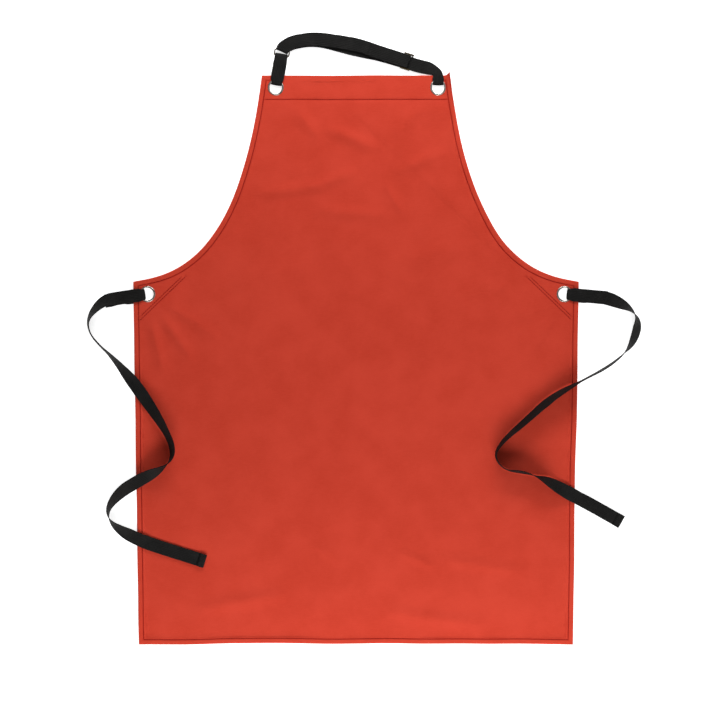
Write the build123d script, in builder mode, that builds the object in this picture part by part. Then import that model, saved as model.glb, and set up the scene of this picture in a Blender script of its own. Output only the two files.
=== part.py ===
"""Bib apron in cotton canvas, laid flat with its front up and its bib towards +Y. Millimetres."""

from build123d import *
import math
import os

os.makedirs("parts", exist_ok=True)

# Cut of the cloth
WAIST_HALF = 350.0
BOTTOM_HALF = 341.0
BIB_HALF = 148.0
BOTTOM_Y = -447.0
WAIST_Y = 123.0
TOP_Y = 447.0
ARMHOLE_TOP_LEAN = 6.9  # degrees off upright where the armhole meets the top edge
ARMHOLE_WAIST_RISE = 11.5  # degrees off level where it meets the side edge
ARMHOLE_TOP_PULL = 313.0
ARMHOLE_WAIST_PULL = 49.0
ARMHOLE_RADIUS = 260.0
HEM = 9.0
ARMHOLE_HEM = 8.0
HEM_SEAM = 7.5
BAND_HEIGHT = 38.5
BAND_HALF = 139.6
BAND_RIM = 6.0
PATCH_INNER = (262.0, 131.0)
PATCH_LOW_Y = 56.0
PATCH_HIGH_Y = 112.5
PATCH_SEAM_STEP = 4.0
JOIN_GAP = 0.3
THREAD = 0.6
THREAD_RISE = 0.3

# Webbing
WEB_WIDTH = 21.0
WEB_THICK = 1.3
WEB_HALF = WEB_WIDTH / 2
STITCH_ROW = 18.0
EYELET_WEB_HALF = 7.75  # the webbing gathers where it goes through an eyelet
RING_WEB_HALF = 8.5
TRIM_HEIGHT = 10.0
TRIM_MARGIN = 3.0
TURN_SHARE = 0.45  # how much of each run an arc of a route may take up

# Levels, from the floor up, where the straps' back plies pass under the hems
BACK_Z = 0.05
WASHER_Z = 1.4
PATCH_Z = 2.1
PANEL_Z = 2.8
FACE_Z = 3.5
FRONT_Z = 4.4

# Eyelets
EYELET_HOLE = 9.5
EYELET_BARREL = 10.0
EYELET_FLANGE = 12.5
EYELET_RISE = 0.8
CLOTH_HOLE = 10.1
EYELETS = {
    "waist_left": (-327.5, 103.5),
    "waist_right": (327.5, 103.5),
    "bib_left": (-126.0, 428.0),
    "bib_right": (129.0, 428.0),
}
RECESS_RADIUS = 48.0
RECESS_SPREAD = 76.0  # degrees each side, room for the loop as its tie swivels

# The loop of a tie, along the tie from its eyelet
LOOP_START = 3.5
LOOP_CLEAR = 33.0
LOOP_MEET = 43.0
LOOP_END = 70.0
GATHER_END = 12.0
GATHER_RUN = 12.0
TACK_START = 46.0
TACK_END = 66.0
TACK_HALF = 7.5
TIE_HEM = 12.0
TIE_HEM_ROWS = (9.0, 3.6)

LEFT_TIE_HEADING = 188.0
RIGHT_TIE_HEADING = -5.0

# Routes of the ties beyond their loops, lying partly on the cloth and partly past its edge
LEFT_TIE_EDGE = [
    (-421, 66), (-418, 42), (-401, 22), (-383, 6), (-359, -22), (-327, -66), (-301, -105),
    (-286, -137), (-290, -160), (-315, -176), (-344, -191), (-371, -208), (-390, -234), (-384, -256),
]
LEFT_TIE_END = [(-346, -281), (-296, -298), (-238, -316)]
RIGHT_TIE_EDGE = [
    (437, 77), (443, 51), (428, 17), (395, -11), (350, -34), (306, -59), (264, -97),
    (230, -126), (215, -150), (232, -173), (262, -175), (296, -187),
]
RIGHT_TIE_END = [(334, -209), (374, -230), (416, -254)]

# Neck strap: the line it folds along, and its route from the ring to the right-hand loop
HINGE_ANGLE = -5.0
TAB_RISE_START = 30.0
TAB_RISE_END = 40.0
RING_REACH = 50.0
RING_WIRE = 1.3
RING_LENGTH = 11.0
RING_WIDTH = 24.0
RING_CORNER = 3.0
RING_Z = 4.05
STRAP_LOW_Z = 1.35
STRAP_HIGH_Z = 5.45
FOLD_INNER = 1.4
STRAP_HEADING = 69.0
FOLD_SLACK = 2.4
ELBOW_REACH = 8.0
NECK_ROUTE = [(-94, 500), (-57, 504), (-14, 495.5), (31, 484.5), (114.5, 457.7)]
UPPER_PLY_END = (49.5, 478.6)
NECK_LOOP_END = 28.2

# Slider on the neck strap
SLIDER_AT = (80.0, 468.8)
SLIDER_HEADING = -17.8
SLIDER_LENGTH = 16.0
SLIDER_HALF_GAP = 11.0
SLIDER_RAIL = 2.0
SLIDER_BAR = 1.6
SLIDER_BAR_INSET = 1.6
SLIDER_RAIL_ROUND = 0.9
SLIDER_MIDDLE_BAR = 3.0
SLIDER_BASE = 0.05
SLIDER_PLATE = 1.2
SLIDER_MIDDLE_Z = 4.15
TAIL_Z = 2.75
TAIL_LENGTH = 34.0
END_LOOP_BACK = 10.0
END_LOOP_FOLD = 2.0
END_LOOP_ROWS = (8.0, 5.0)


def direction(degrees):
    return Vector(math.cos(math.radians(degrees)), math.sin(math.radians(degrees)))


def side_x(y):
    """Half-width of the skirt at a height."""
    return BOTTOM_HALF + (WAIST_HALF - BOTTOM_HALF) * (y - BOTTOM_Y) / (WAIST_Y - BOTTOM_Y)


def armhole_points(side, inset):
    """Control points of the armhole's curve, moved into the cloth by an inset."""
    down = direction(ARMHOLE_TOP_LEAN - 90)
    back = direction(180 - ARMHOLE_WAIST_RISE)
    stretch = 1 + inset / ARMHOLE_RADIUS
    top = Vector(BIB_HALF, TOP_Y) + down.rotate(Axis.Z, -90) * inset
    waist = Vector(WAIST_HALF, WAIST_Y) + back.rotate(Axis.Z, 90) * inset
    points = [
        top,
        top + down * ARMHOLE_TOP_PULL * stretch,
        waist + back * ARMHOLE_WAIST_PULL * stretch,
        waist,
    ]
    return [(side * point.X, point.Y) for point in points]


def armhole_strip(side, outer, inner):
    """Closed outline between two insets of an armhole, level at both ends."""
    near = armhole_points(side, outer)
    far = armhole_points(side, inner)
    foot_y = far[3][1]
    Bezier(*near)
    Bezier(*far)
    rise = [(near[0][0], TOP_Y)] if outer else []
    Polyline(near[0], *rise, (far[0][0], TOP_Y), far[0])
    Polyline(near[3], (side * (side_x(foot_y) - outer), foot_y), far[3])


def apron_outline():
    left = armhole_points(-1, 0)
    right = armhole_points(1, 0)
    Bezier(*right)
    Line(right[0], left[0])
    Bezier(*left)
    Polyline(left[3], (-BOTTOM_HALF, BOTTOM_Y), (BOTTOM_HALF, BOTTOM_Y), right[3])


def recess_sector(centre, heading):
    """Wedge under an eyelet that a strap's back ply passes through."""
    first = Vector(*centre) + direction(heading - RECESS_SPREAD) * RECESS_RADIUS
    middle = Vector(*centre) + direction(heading) * RECESS_RADIUS
    last = Vector(*centre) + direction(heading + RECESS_SPREAD) * RECESS_RADIUS
    Line(centre, (first.X, first.Y))
    ThreePointArc((first.X, first.Y), (middle.X, middle.Y), (last.X, last.Y))
    Line((last.X, last.Y), centre)


def finish(name, builder):
    builder.part.label = name
    export_step(builder.part, f"parts/{name}.step")


# Cloth

with BuildPart() as apron_panel:
    with BuildSketch(Plane.XY.offset(PANEL_Z)):
        with BuildLine():
            apron_outline()
        make_face()
        with Locations(*EYELETS.values()):
            Circle(CLOTH_HOLE, mode=Mode.SUBTRACT)
    extrude(amount=FACE_Z - PANEL_Z)
finish("apron_panel", apron_panel)

with BuildPart() as bottom_hem:
    with BuildSketch():
        with Locations((0, BOTTOM_Y + HEM / 2)):
            Rectangle(2 * (BOTTOM_HALF - HEM - JOIN_GAP), HEM)
    extrude(amount=PANEL_Z)
finish("bottom_hem", bottom_hem)

for side, word in ((-1, "left"), (1, "right")):
    eyelet = EYELETS[f"waist_{word}"]
    outward = 0 if side > 0 else 180

    with BuildPart() as armhole_hem:
        with BuildSketch():
            with BuildLine():
                armhole_strip(side, 0, ARMHOLE_HEM)
            make_face()
        extrude(amount=PANEL_Z)
        with BuildSketch():
            with BuildLine():
                recess_sector(eyelet, outward)
            make_face()
        extrude(amount=WASHER_Z, mode=Mode.SUBTRACT)
    finish(f"armhole_hem_{word}", armhole_hem)

    hem_top = armhole_points(side, ARMHOLE_HEM)[3][1] - JOIN_GAP
    with BuildPart() as side_hem:
        with BuildSketch():
            with BuildLine():
                Polyline(
                    (side * BOTTOM_HALF, BOTTOM_Y),
                    (side * side_x(hem_top), hem_top),
                    (side * (side_x(hem_top) - HEM), hem_top),
                    (side * (BOTTOM_HALF - HEM), BOTTOM_Y),
                    close=True,
                )
            make_face()
        extrude(amount=PANEL_Z)
        with BuildSketch():
            with BuildLine():
                recess_sector(eyelet, outward)
            make_face()
        extrude(amount=WASHER_Z, mode=Mode.SUBTRACT)
    finish(f"side_hem_{word}", side_hem)

    patch_outer = side_x(PATCH_LOW_Y) - HEM - JOIN_GAP
    with BuildPart() as waist_patch:
        with BuildSketch(Plane.XY.offset(PATCH_Z)):
            with BuildLine():
                Polyline(
                    (side * patch_outer, PATCH_LOW_Y),
                    (side * patch_outer, PATCH_HIGH_Y),
                    (side * PATCH_INNER[0], PATCH_INNER[1]),
                    close=True,
                )
            make_face()
            with Locations(eyelet):
                Circle(CLOTH_HOLE, mode=Mode.SUBTRACT)
        extrude(amount=PANEL_Z - PATCH_Z)
    finish(f"waist_patch_{word}", waist_patch)

with BuildPart() as bib_band:
    with BuildSketch(Plane.XY.offset(PATCH_Z)):
        with Locations((0, TOP_Y - BAND_HEIGHT / 2)):
            Rectangle(2 * BAND_HALF, BAND_HEIGHT)
        with Locations(EYELETS["bib_left"], EYELETS["bib_right"]):
            Circle(CLOTH_HOLE, mode=Mode.SUBTRACT)
    extrude(amount=PANEL_Z - PATCH_Z)
    with BuildSketch():
        with Locations((0, TOP_Y - BAND_RIM / 2)):
            Rectangle(2 * BAND_HALF, BAND_RIM)
    extrude(amount=PATCH_Z)
    with BuildSketch():
        with Locations(*[(EYELETS[name][0], TOP_Y - BAND_RIM) for name in ("bib_left", "bib_right")]):
            Rectangle(WEB_WIDTH + HEM, 2 * BAND_RIM)
    extrude(amount=WASHER_Z, mode=Mode.SUBTRACT)
finish("bib_band", bib_band)

# Seams, as the thread shows on the face

with BuildPart() as hem_stitching:
    for side in (-1, 1):
        with BuildSketch(Plane.XY.offset(FACE_Z)):
            with BuildLine():
                armhole_strip(side, HEM_SEAM, HEM_SEAM + THREAD)
            make_face()
        extrude(amount=THREAD_RISE)
        seam_top = armhole_points(side, HEM_SEAM + THREAD)[3][1] - THREAD
        low_y = BOTTOM_Y + HEM_SEAM + 2 * THREAD
        with BuildSketch(Plane.XY.offset(FACE_Z)):
            with BuildLine():
                Polyline(
                    (side * (side_x(low_y) - HEM_SEAM), low_y),
                    (side * (side_x(seam_top) - HEM_SEAM), seam_top),
                    (side * (side_x(seam_top) - HEM_SEAM - THREAD), seam_top),
                    (side * (side_x(low_y) - HEM_SEAM - THREAD), low_y),
                    close=True,
                )
            make_face()
        extrude(amount=THREAD_RISE)
    with BuildSketch(Plane.XY.offset(FACE_Z)):
        with Locations((0, BOTTOM_Y + HEM_SEAM + THREAD / 2)):
            Rectangle(2 * (BOTTOM_HALF - HEM_SEAM), THREAD)
    extrude(amount=THREAD_RISE)
finish("hem_stitching", hem_stitching)

with BuildPart() as band_stitching:
    with BuildSketch(Plane.XY.offset(FACE_Z)):
        with Locations((0, TOP_Y - BAND_HEIGHT + THREAD)):
            Rectangle(2 * BAND_HALF, THREAD)
    extrude(amount=THREAD_RISE)
finish("band_stitching", band_stitching)

with BuildPart() as patch_stitching:
    for side in (-1, 1):
        run = Vector(*PATCH_INNER) - Vector(side_x(PATCH_LOW_Y) - HEM, PATCH_LOW_Y)
        across = run.rotate(Axis.Z, 90).normalized()
        middle = Vector(*PATCH_INNER) - run / 2
        for row in (1, 2):
            spot = middle - across * row * PATCH_SEAM_STEP
            length = run.length - 2 * (row + 0.5) * PATCH_SEAM_STEP
            heading = math.degrees(math.atan2(run.Y, side * run.X))
            with BuildSketch(Plane.XY.offset(FACE_Z)):
                with Locations(Location((side * spot.X, spot.Y), heading)):
                    Rectangle(length, THREAD)
            extrude(amount=THREAD_RISE)
finish("patch_stitching", patch_stitching)

# Eyelets: a domed front half with its barrel, and a back washer

for word, (x, y) in EYELETS.items():
    upright = Plane(origin=(x, y, 0), x_dir=(1, 0, 0), z_dir=(0, -1, 0))
    axle = Axis((x, y, 0), (0, 0, 1))
    with BuildPart() as grommet:
        with BuildSketch(upright):
            with BuildLine():
                Polyline(
                    (EYELET_HOLE, FACE_Z + EYELET_RISE / 2),
                    (EYELET_HOLE, WASHER_Z),
                    (EYELET_BARREL, WASHER_Z),
                    (EYELET_BARREL, FACE_Z),
                    (EYELET_FLANGE, FACE_Z),
                )
                ThreePointArc(
                    (EYELET_FLANGE, FACE_Z),
                    ((EYELET_FLANGE + EYELET_HOLE) / 2, FACE_Z + EYELET_RISE),
                    (EYELET_HOLE, FACE_Z + EYELET_RISE / 2),
                )
            make_face()
        revolve(axis=axle)
    finish(f"eyelet_{word}", grommet)

    with BuildPart() as washer:
        with BuildSketch(Plane.XY.offset(WASHER_Z)):
            with Locations((x, y)):
                Circle(EYELET_FLANGE)
                Circle(CLOTH_HOLE, mode=Mode.SUBTRACT)
        extrude(amount=PATCH_Z - WASHER_Z)
    finish(f"washer_{word}", washer)


def gather(plane, reach, half, fade):
    """Trims both edges of a loop's first stretch, where the webbing is drawn narrow."""
    with BuildSketch(plane) as trims:
        for side in (-1, 1):
            with BuildLine():
                Polyline(
                    (-TRIM_MARGIN, side * half),
                    (reach, side * half),
                    (reach + fade, side * (WEB_HALF + JOIN_GAP)),
                    (reach + fade, side * (WEB_HALF + TRIM_MARGIN)),
                    (-TRIM_MARGIN, side * (WEB_HALF + TRIM_MARGIN)),
                    close=True,
                )
            make_face()
    extrude(trims.sketch, amount=TRIM_HEIGHT, mode=Mode.SUBTRACT)


def tie_loop(centre, heading):
    """Loop round the cloth's edge: up through the eyelet, over the front, and sewn to itself beyond."""
    along = direction(heading)
    upright = Plane(origin=(*centre, 0), x_dir=along, z_dir=along.rotate(Axis.Z, -90))
    slope = WEB_THICK / 2
    with BuildSketch(upright) as profile:
        Polygon(
            (LOOP_START, BACK_Z),
            (LOOP_CLEAR, BACK_Z),
            (LOOP_MEET, FRONT_Z - WEB_THICK),
            (LOOP_END, FRONT_Z - WEB_THICK),
            (LOOP_END, FRONT_Z + WEB_THICK),
            (LOOP_START, FRONT_Z + WEB_THICK),
            align=None,
        )
        Polygon(
            (LOOP_START + WEB_THICK, BACK_Z + WEB_THICK),
            (LOOP_CLEAR - slope, BACK_Z + WEB_THICK),
            (LOOP_MEET - slope, FRONT_Z),
            (LOOP_START + WEB_THICK, FRONT_Z),
            align=None,
            mode=Mode.SUBTRACT,
        )
    extrude(profile.sketch, amount=WEB_HALF, both=True)
    gather(Plane(origin=(*centre, 0), x_dir=along), GATHER_END, EYELET_WEB_HALF, GATHER_RUN)


def web_section(place, heading, roll):
    """Plane across the webbing at one place of its route; a roll of 0 lies flat, 90 stands on edge."""
    turn = math.radians(roll)
    rise = FRONT_Z + WEB_HALF * math.sin(turn) + WEB_THICK / 2 * abs(math.cos(turn))
    side = direction(heading + 90)
    x_dir = side * math.cos(turn) + Vector(0, 0, 1) * math.sin(turn)
    return Plane(origin=(place.X, place.Y, rise), x_dir=x_dir, z_dir=direction(heading))


def heading_of(start, end):
    return math.degrees(math.atan2(end[1] - start[1], end[0] - start[0]))


def twist(start, start_heading, end, end_heading, start_roll, end_roll, steps=6):
    """Webbing that turns between flat and on edge while its route bends."""
    reach = (Vector(*end) - Vector(*start)).length / 3
    a = Vector(*start)
    d = Vector(*end)
    b = a + direction(start_heading) * reach
    c = d - direction(end_heading) * reach
    sections = []
    for step in range(steps + 1):
        t = step / steps
        s = 1 - t
        place = a * s**3 + b * 3 * s * s * t + c * 3 * s * t * t + d * t**3
        slope = (b - a) * s * s + (c - b) * 2 * s * t + (d - c) * t * t
        if step == 0:
            slope = direction(start_heading)
        if step == steps:
            slope = direction(end_heading)
        bearing = math.degrees(math.atan2(slope.Y, slope.X))
        roll = start_roll + (end_roll - start_roll) * t
        with BuildSketch(web_section(place, bearing, roll)) as section:
            Rectangle(WEB_WIDTH, WEB_THICK)
        sections.append(section.sketch.faces()[0])
    loft(sections=sections, ruled=True)


def corner_radii(points):
    """Each arc takes up as much of its two runs as they allow."""
    radii = []
    for before, at, after in zip(points, points[1:], points[2:]):
        first = Vector(*at) - Vector(*before)
        second = Vector(*after) - Vector(*at)
        half_turn = math.radians(first.get_angle(second) / 2)
        radii.append(TURN_SHARE * min(first.length, second.length) / math.tan(half_turn))
    return radii


def strip(points, height, upright):
    """Webbing along straight runs joined by tangent arcs."""
    with BuildLine() as route:
        FilletPolyline(*[(x, y, height) for x, y in points], radius=corner_radii(points))
    path = route.wires()[0]
    start_heading = heading_of(points[0], points[1])
    across = Vector(0, 0, 1) if upright else direction(start_heading + 90)
    with BuildSketch(Plane(origin=path @ 0, x_dir=across, z_dir=direction(start_heading))) as section:
        Rectangle(WEB_WIDTH, WEB_THICK)
    sweep(section.sketch, path=path)


# Waist ties

TIES = (
    ("left", LEFT_TIE_HEADING, LEFT_TIE_EDGE, LEFT_TIE_END),
    ("right", RIGHT_TIE_HEADING, RIGHT_TIE_EDGE, RIGHT_TIE_END),
)
for word, heading, edge_route, end_route in TIES:
    eyelet = EYELETS[f"waist_{word}"]
    loop_end = Vector(*eyelet) + direction(heading) * LOOP_END
    loop_end = (loop_end.X, loop_end.Y)
    edge_start = heading_of(edge_route[0], edge_route[1])
    edge_end = heading_of(edge_route[-2], edge_route[-1])
    end_start = heading_of(end_route[0], end_route[1])
    end_heading = heading_of(end_route[-2], end_route[-1])
    mid_height = FRONT_Z + WEB_HALF
    flat_height = FRONT_Z + WEB_THICK / 2

    with BuildPart() as waist_tie:
        tie_loop(eyelet, heading)
        twist(loop_end, heading, edge_route[0], edge_start, 0, 90)
        strip(edge_route, mid_height, True)
        twist(edge_route[-1], edge_end, end_route[0], end_start, 90, 180)
        strip(end_route, flat_height, False)
        tip = Vector(*end_route[-1]) - direction(end_heading) * TIE_HEM / 2
        with BuildSketch(Plane(origin=(tip.X, tip.Y, FRONT_Z + WEB_THICK), x_dir=direction(end_heading))):
            Rectangle(TIE_HEM, WEB_WIDTH)
        extrude(amount=WEB_THICK)
    finish(f"waist_tie_{word}", waist_tie)

    tack = Plane(origin=(*eyelet, FRONT_Z + WEB_THICK), x_dir=direction(heading))
    hem = Plane(origin=(*end_route[-1], FRONT_Z + 2 * WEB_THICK), x_dir=direction(end_heading))
    with BuildPart() as tie_stitching:
        with BuildSketch(tack):
            with Locations(((TACK_START + TACK_END) / 2, 0)):
                Rectangle(TACK_END - TACK_START, 2 * TACK_HALF)
                Rectangle(TACK_END - TACK_START - 2 * THREAD, 2 * (TACK_HALF - THREAD), mode=Mode.SUBTRACT)
        extrude(amount=THREAD_RISE)
        with BuildSketch(hem):
            with Locations(*[(-back, 0) for back in TIE_HEM_ROWS]):
                Rectangle(THREAD, STITCH_ROW)
        extrude(amount=THREAD_RISE)
    finish(f"tie_stitching_{word}", tie_stitching)

# Neck tab, folded through the left bib eyelet and the ring

tab_eyelet = EYELETS["bib_left"]
tab_heading = HINGE_ANGLE + 90
tab_along = direction(tab_heading)
fold_outer = FOLD_INNER + WEB_THICK

with BuildPart() as neck_tab:
    with BuildSketch(Plane(origin=(*tab_eyelet, 0), x_dir=tab_along, z_dir=tab_along.rotate(Axis.Z, -90))):
        with BuildLine():
            Polyline(
                (RING_REACH, RING_Z - fold_outer),
                (TAB_RISE_END, RING_Z - fold_outer),
                (TAB_RISE_START, BACK_Z),
                (LOOP_START, BACK_Z),
                (LOOP_START, FRONT_Z + WEB_THICK),
                (TAB_RISE_START, FRONT_Z + WEB_THICK),
                (TAB_RISE_END, RING_Z + fold_outer),
                (RING_REACH, RING_Z + fold_outer),
            )
            ThreePointArc(
                (RING_REACH, RING_Z + fold_outer),
                (RING_REACH + fold_outer, RING_Z),
                (RING_REACH, RING_Z - fold_outer),
            )
        make_face()
        with BuildLine():
            Polyline(
                (RING_REACH, RING_Z - FOLD_INNER),
                (TAB_RISE_END, RING_Z - FOLD_INNER),
                (TAB_RISE_START, BACK_Z + WEB_THICK),
                (LOOP_START + WEB_THICK, BACK_Z + WEB_THICK),
                (LOOP_START + WEB_THICK, FRONT_Z),
                (TAB_RISE_START, FRONT_Z),
                (TAB_RISE_END, RING_Z + FOLD_INNER),
                (RING_REACH, RING_Z + FOLD_INNER),
            )
            ThreePointArc(
                (RING_REACH, RING_Z + FOLD_INNER),
                (RING_REACH + FOLD_INNER, RING_Z),
                (RING_REACH, RING_Z - FOLD_INNER),
            )
        make_face(mode=Mode.SUBTRACT)
    extrude(amount=WEB_HALF, both=True)
    gather(Plane(origin=(*tab_eyelet, 0), x_dir=tab_along), GATHER_END, EYELET_WEB_HALF, GATHER_RUN)
    far_end = Vector(*tab_eyelet) + tab_along * (RING_REACH + fold_outer)
    gather(
        Plane(origin=(far_end.X, far_end.Y, 0), x_dir=-tab_along),
        fold_outer + RING_WIRE,
        RING_WEB_HALF,
        FOLD_SLACK,
    )
finish("neck_tab", neck_tab)

# Right-hand loop of the neck strap, through its own eyelet

loop_eyelet = EYELETS["bib_right"]
loop_middle = (BACK_Z + FRONT_Z + WEB_THICK) / 2
loop_outer = loop_middle - BACK_Z
loop_inner = loop_outer - WEB_THICK

with BuildPart() as neck_loop:
    with BuildSketch(Plane(origin=(*loop_eyelet, 0), x_dir=(0, 1, 0), z_dir=(1, 0, 0))):
        for reach, start, mode in (
            (loop_outer, LOOP_START, Mode.ADD),
            (loop_inner, LOOP_START + WEB_THICK, Mode.SUBTRACT),
        ):
            with BuildLine():
                Polyline(
                    (NECK_LOOP_END, loop_middle - reach),
                    (start, loop_middle - reach),
                    (start, loop_middle + reach),
                    (NECK_LOOP_END, loop_middle + reach),
                )
                ThreePointArc(
                    (NECK_LOOP_END, loop_middle + reach),
                    (NECK_LOOP_END + reach, loop_middle),
                    (NECK_LOOP_END, loop_middle - reach),
                )
            make_face(mode=mode)
    extrude(amount=WEB_HALF, both=True)
    gather(Plane(origin=(*loop_eyelet, 0), x_dir=(0, 1, 0)), GATHER_END, EYELET_WEB_HALF, GATHER_RUN)
finish("neck_loop", neck_loop)

# Ring between the tab and the strap

tab_bar = Vector(*tab_eyelet) + tab_along * RING_REACH
strap_bar = tab_bar + tab_along * RING_LENGTH
ring_middle = tab_bar + tab_along * RING_LENGTH / 2

with BuildPart() as neck_ring:
    ring_plane = Plane(origin=(ring_middle.X, ring_middle.Y, RING_Z), x_dir=direction(HINGE_ANGLE))
    with BuildLine(ring_plane) as ring_path:
        FilletPolyline(
            (-RING_WIDTH / 2, -RING_LENGTH / 2),
            (RING_WIDTH / 2, -RING_LENGTH / 2),
            (RING_WIDTH / 2, RING_LENGTH / 2),
            (-RING_WIDTH / 2, RING_LENGTH / 2),
            close=True,
            radius=RING_CORNER,
        )
    ring_wire = ring_path.wires()[0]
    with BuildSketch(Plane(origin=ring_wire @ 0, z_dir=ring_wire % 0)):
        Circle(RING_WIRE)
    sweep(path=ring_wire)
finish("neck_ring", neck_ring)

# Neck strap: folded through the ring, lower ply to the right-hand loop, upper ply towards the slider

strap_along = direction(STRAP_HEADING)
elbow = strap_bar + strap_along * ELBOW_REACH
fold_at = -FOLD_SLACK

with BuildPart() as neck_strap:
    with BuildSketch(
        Plane(
            origin=(strap_bar.X, strap_bar.Y, RING_Z),
            x_dir=strap_along,
            z_dir=strap_along.rotate(Axis.Z, -90),
        )
    ):
        for reach, mode in ((fold_outer, Mode.ADD), (FOLD_INNER, Mode.SUBTRACT)):
            with BuildLine():
                Polyline(
                    (fold_at, -reach),
                    (ELBOW_REACH, -reach),
                    (ELBOW_REACH, reach),
                    (fold_at, reach),
                )
                ThreePointArc((fold_at, reach), (fold_at - reach, 0), (fold_at, -reach))
            make_face(mode=mode)
    extrude(amount=RING_WEB_HALF, both=True)
    for level, route in (
        (STRAP_LOW_Z, NECK_ROUTE),
        (STRAP_HIGH_Z, NECK_ROUTE[:-1] + [UPPER_PLY_END]),
    ):
        with BuildSketch(Plane.XY.offset(level)):
            with Locations((elbow.X, elbow.Y)):
                Circle(WEB_HALF)
        extrude(amount=WEB_THICK)
        strip([(elbow.X, elbow.Y)] + route, level + WEB_THICK / 2, False)
finish("neck_strap", neck_strap)

# Slider, with the strap's end sewn round its middle bar

slider_plane = Plane(origin=(*SLIDER_AT, SLIDER_BASE), x_dir=direction(SLIDER_HEADING))
rail_middle = SLIDER_HALF_GAP + SLIDER_RAIL / 2
slider_top = SLIDER_MIDDLE_Z + SLIDER_PLATE

with BuildPart() as neck_slider:
    with BuildSketch(slider_plane):
        with Locations((0, -rail_middle), (0, rail_middle)):
            RectangleRounded(SLIDER_LENGTH, SLIDER_RAIL, SLIDER_RAIL_ROUND)
    extrude(amount=slider_top - SLIDER_BASE)
    with BuildSketch(slider_plane):
        with Locations(*[(end * (SLIDER_LENGTH / 2 - SLIDER_BAR_INSET), 0) for end in (-1, 1)]):
            Rectangle(SLIDER_BAR, 2 * rail_middle)
    extrude(amount=SLIDER_PLATE)
    with BuildSketch(slider_plane.offset(SLIDER_MIDDLE_Z - SLIDER_BASE)):
        Rectangle(SLIDER_MIDDLE_BAR, 2 * rail_middle)
    extrude(amount=SLIDER_PLATE)
finish("neck_slider", neck_slider)

slider_along = direction(SLIDER_HEADING)
turn_middle = (TAIL_Z + STRAP_HIGH_Z + WEB_THICK) / 2
turn_outer = turn_middle - TAIL_Z
turn_inner = turn_outer - WEB_THICK

with BuildPart() as strap_end_loop:
    upright = Plane(origin=(*SLIDER_AT, 0), x_dir=slider_along, z_dir=slider_along.rotate(Axis.Z, -90))
    with BuildSketch(upright):
        with BuildLine():
            Polyline(
                (END_LOOP_FOLD, turn_middle + turn_outer),
                (-END_LOOP_BACK, turn_middle + turn_outer),
                (-END_LOOP_BACK, turn_middle + turn_inner),
                (END_LOOP_FOLD, turn_middle + turn_inner),
            )
            ThreePointArc(
                (END_LOOP_FOLD, turn_middle + turn_inner),
                (END_LOOP_FOLD + turn_inner, turn_middle),
                (END_LOOP_FOLD, turn_middle - turn_inner),
            )
            Polyline(
                (END_LOOP_FOLD, turn_middle - turn_inner),
                (-TAIL_LENGTH, turn_middle - turn_inner),
                (-TAIL_LENGTH, turn_middle - turn_outer),
                (END_LOOP_FOLD, turn_middle - turn_outer),
            )
            ThreePointArc(
                (END_LOOP_FOLD, turn_middle - turn_outer),
                (END_LOOP_FOLD + turn_outer, turn_middle),
                (END_LOOP_FOLD, turn_middle + turn_outer),
            )
        make_face()
    extrude(amount=WEB_HALF, both=True)
finish("strap_end_loop", strap_end_loop)

with BuildPart() as strap_stitching:
    with BuildSketch(Plane(origin=(*SLIDER_AT, STRAP_HIGH_Z + WEB_THICK), x_dir=slider_along)):
        with Locations(*[(-back, 0) for back in END_LOOP_ROWS]):
            Rectangle(THREAD, STITCH_ROW)
    extrude(amount=THREAD_RISE)
finish("strap_stitching", strap_stitching)
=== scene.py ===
"""A bib apron in red cotton canvas, laid flat with its black webbing ties and neck strap.

Metres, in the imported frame: the bib points towards +Y and the front faces +Z.
"""

import math
import random

import bmesh
import bpy
import numpy as np
from mathutils import Matrix, Vector, noise
from mathutils.geometry import delaunay_2d_cdt
from mathutils.kdtree import KDTree


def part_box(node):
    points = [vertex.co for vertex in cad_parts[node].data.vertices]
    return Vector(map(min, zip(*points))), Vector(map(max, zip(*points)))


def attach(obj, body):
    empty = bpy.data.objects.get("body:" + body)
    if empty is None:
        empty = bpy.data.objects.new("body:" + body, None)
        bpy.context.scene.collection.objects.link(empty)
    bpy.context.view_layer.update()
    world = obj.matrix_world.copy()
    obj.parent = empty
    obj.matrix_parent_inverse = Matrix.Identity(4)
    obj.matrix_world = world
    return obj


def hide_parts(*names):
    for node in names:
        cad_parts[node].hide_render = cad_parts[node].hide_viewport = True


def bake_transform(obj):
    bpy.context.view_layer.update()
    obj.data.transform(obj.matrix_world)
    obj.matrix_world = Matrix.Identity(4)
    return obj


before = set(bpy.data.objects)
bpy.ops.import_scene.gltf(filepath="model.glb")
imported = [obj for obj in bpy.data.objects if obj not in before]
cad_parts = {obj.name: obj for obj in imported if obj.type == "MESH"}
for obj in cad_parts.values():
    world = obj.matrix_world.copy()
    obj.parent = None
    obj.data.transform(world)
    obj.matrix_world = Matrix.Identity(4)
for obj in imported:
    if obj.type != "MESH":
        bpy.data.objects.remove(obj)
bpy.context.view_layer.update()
dice = random.Random(7)

MM = 0.001
TAU = 2 * math.pi

# Cut of the cloth
panel_low, panel_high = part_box("apron_panel")
TOP = panel_high.y
BOTTOM = panel_low.y
WAIST_HALF = panel_high.x
WAIST_Y = 0.123
BOTTOM_HALF = 0.341
BIB_HALF = 0.148
ARMHOLE_TOP_LEAN = 6.9
ARMHOLE_WAIST_RISE = 11.5
ARMHOLE_TOP_PULL = 0.313
ARMHOLE_WAIST_PULL = 0.049
ARMHOLE_RADIUS = 0.26
HEM = 0.009
HEM_SEAM = 0.0078
BAND_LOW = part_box("bib_band")[0].y
BAND_SEAM = BAND_LOW + 0.0008
PATCH_INNER = Vector((0.262, 0.131))
PATCH_LOW_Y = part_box("waist_patch_left")[0].y
PATCH_HIGH_Y = 0.1125
PATCH_SEAM_STEP = 0.004
PATCH_SEAM_SHARE = 0.45

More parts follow.
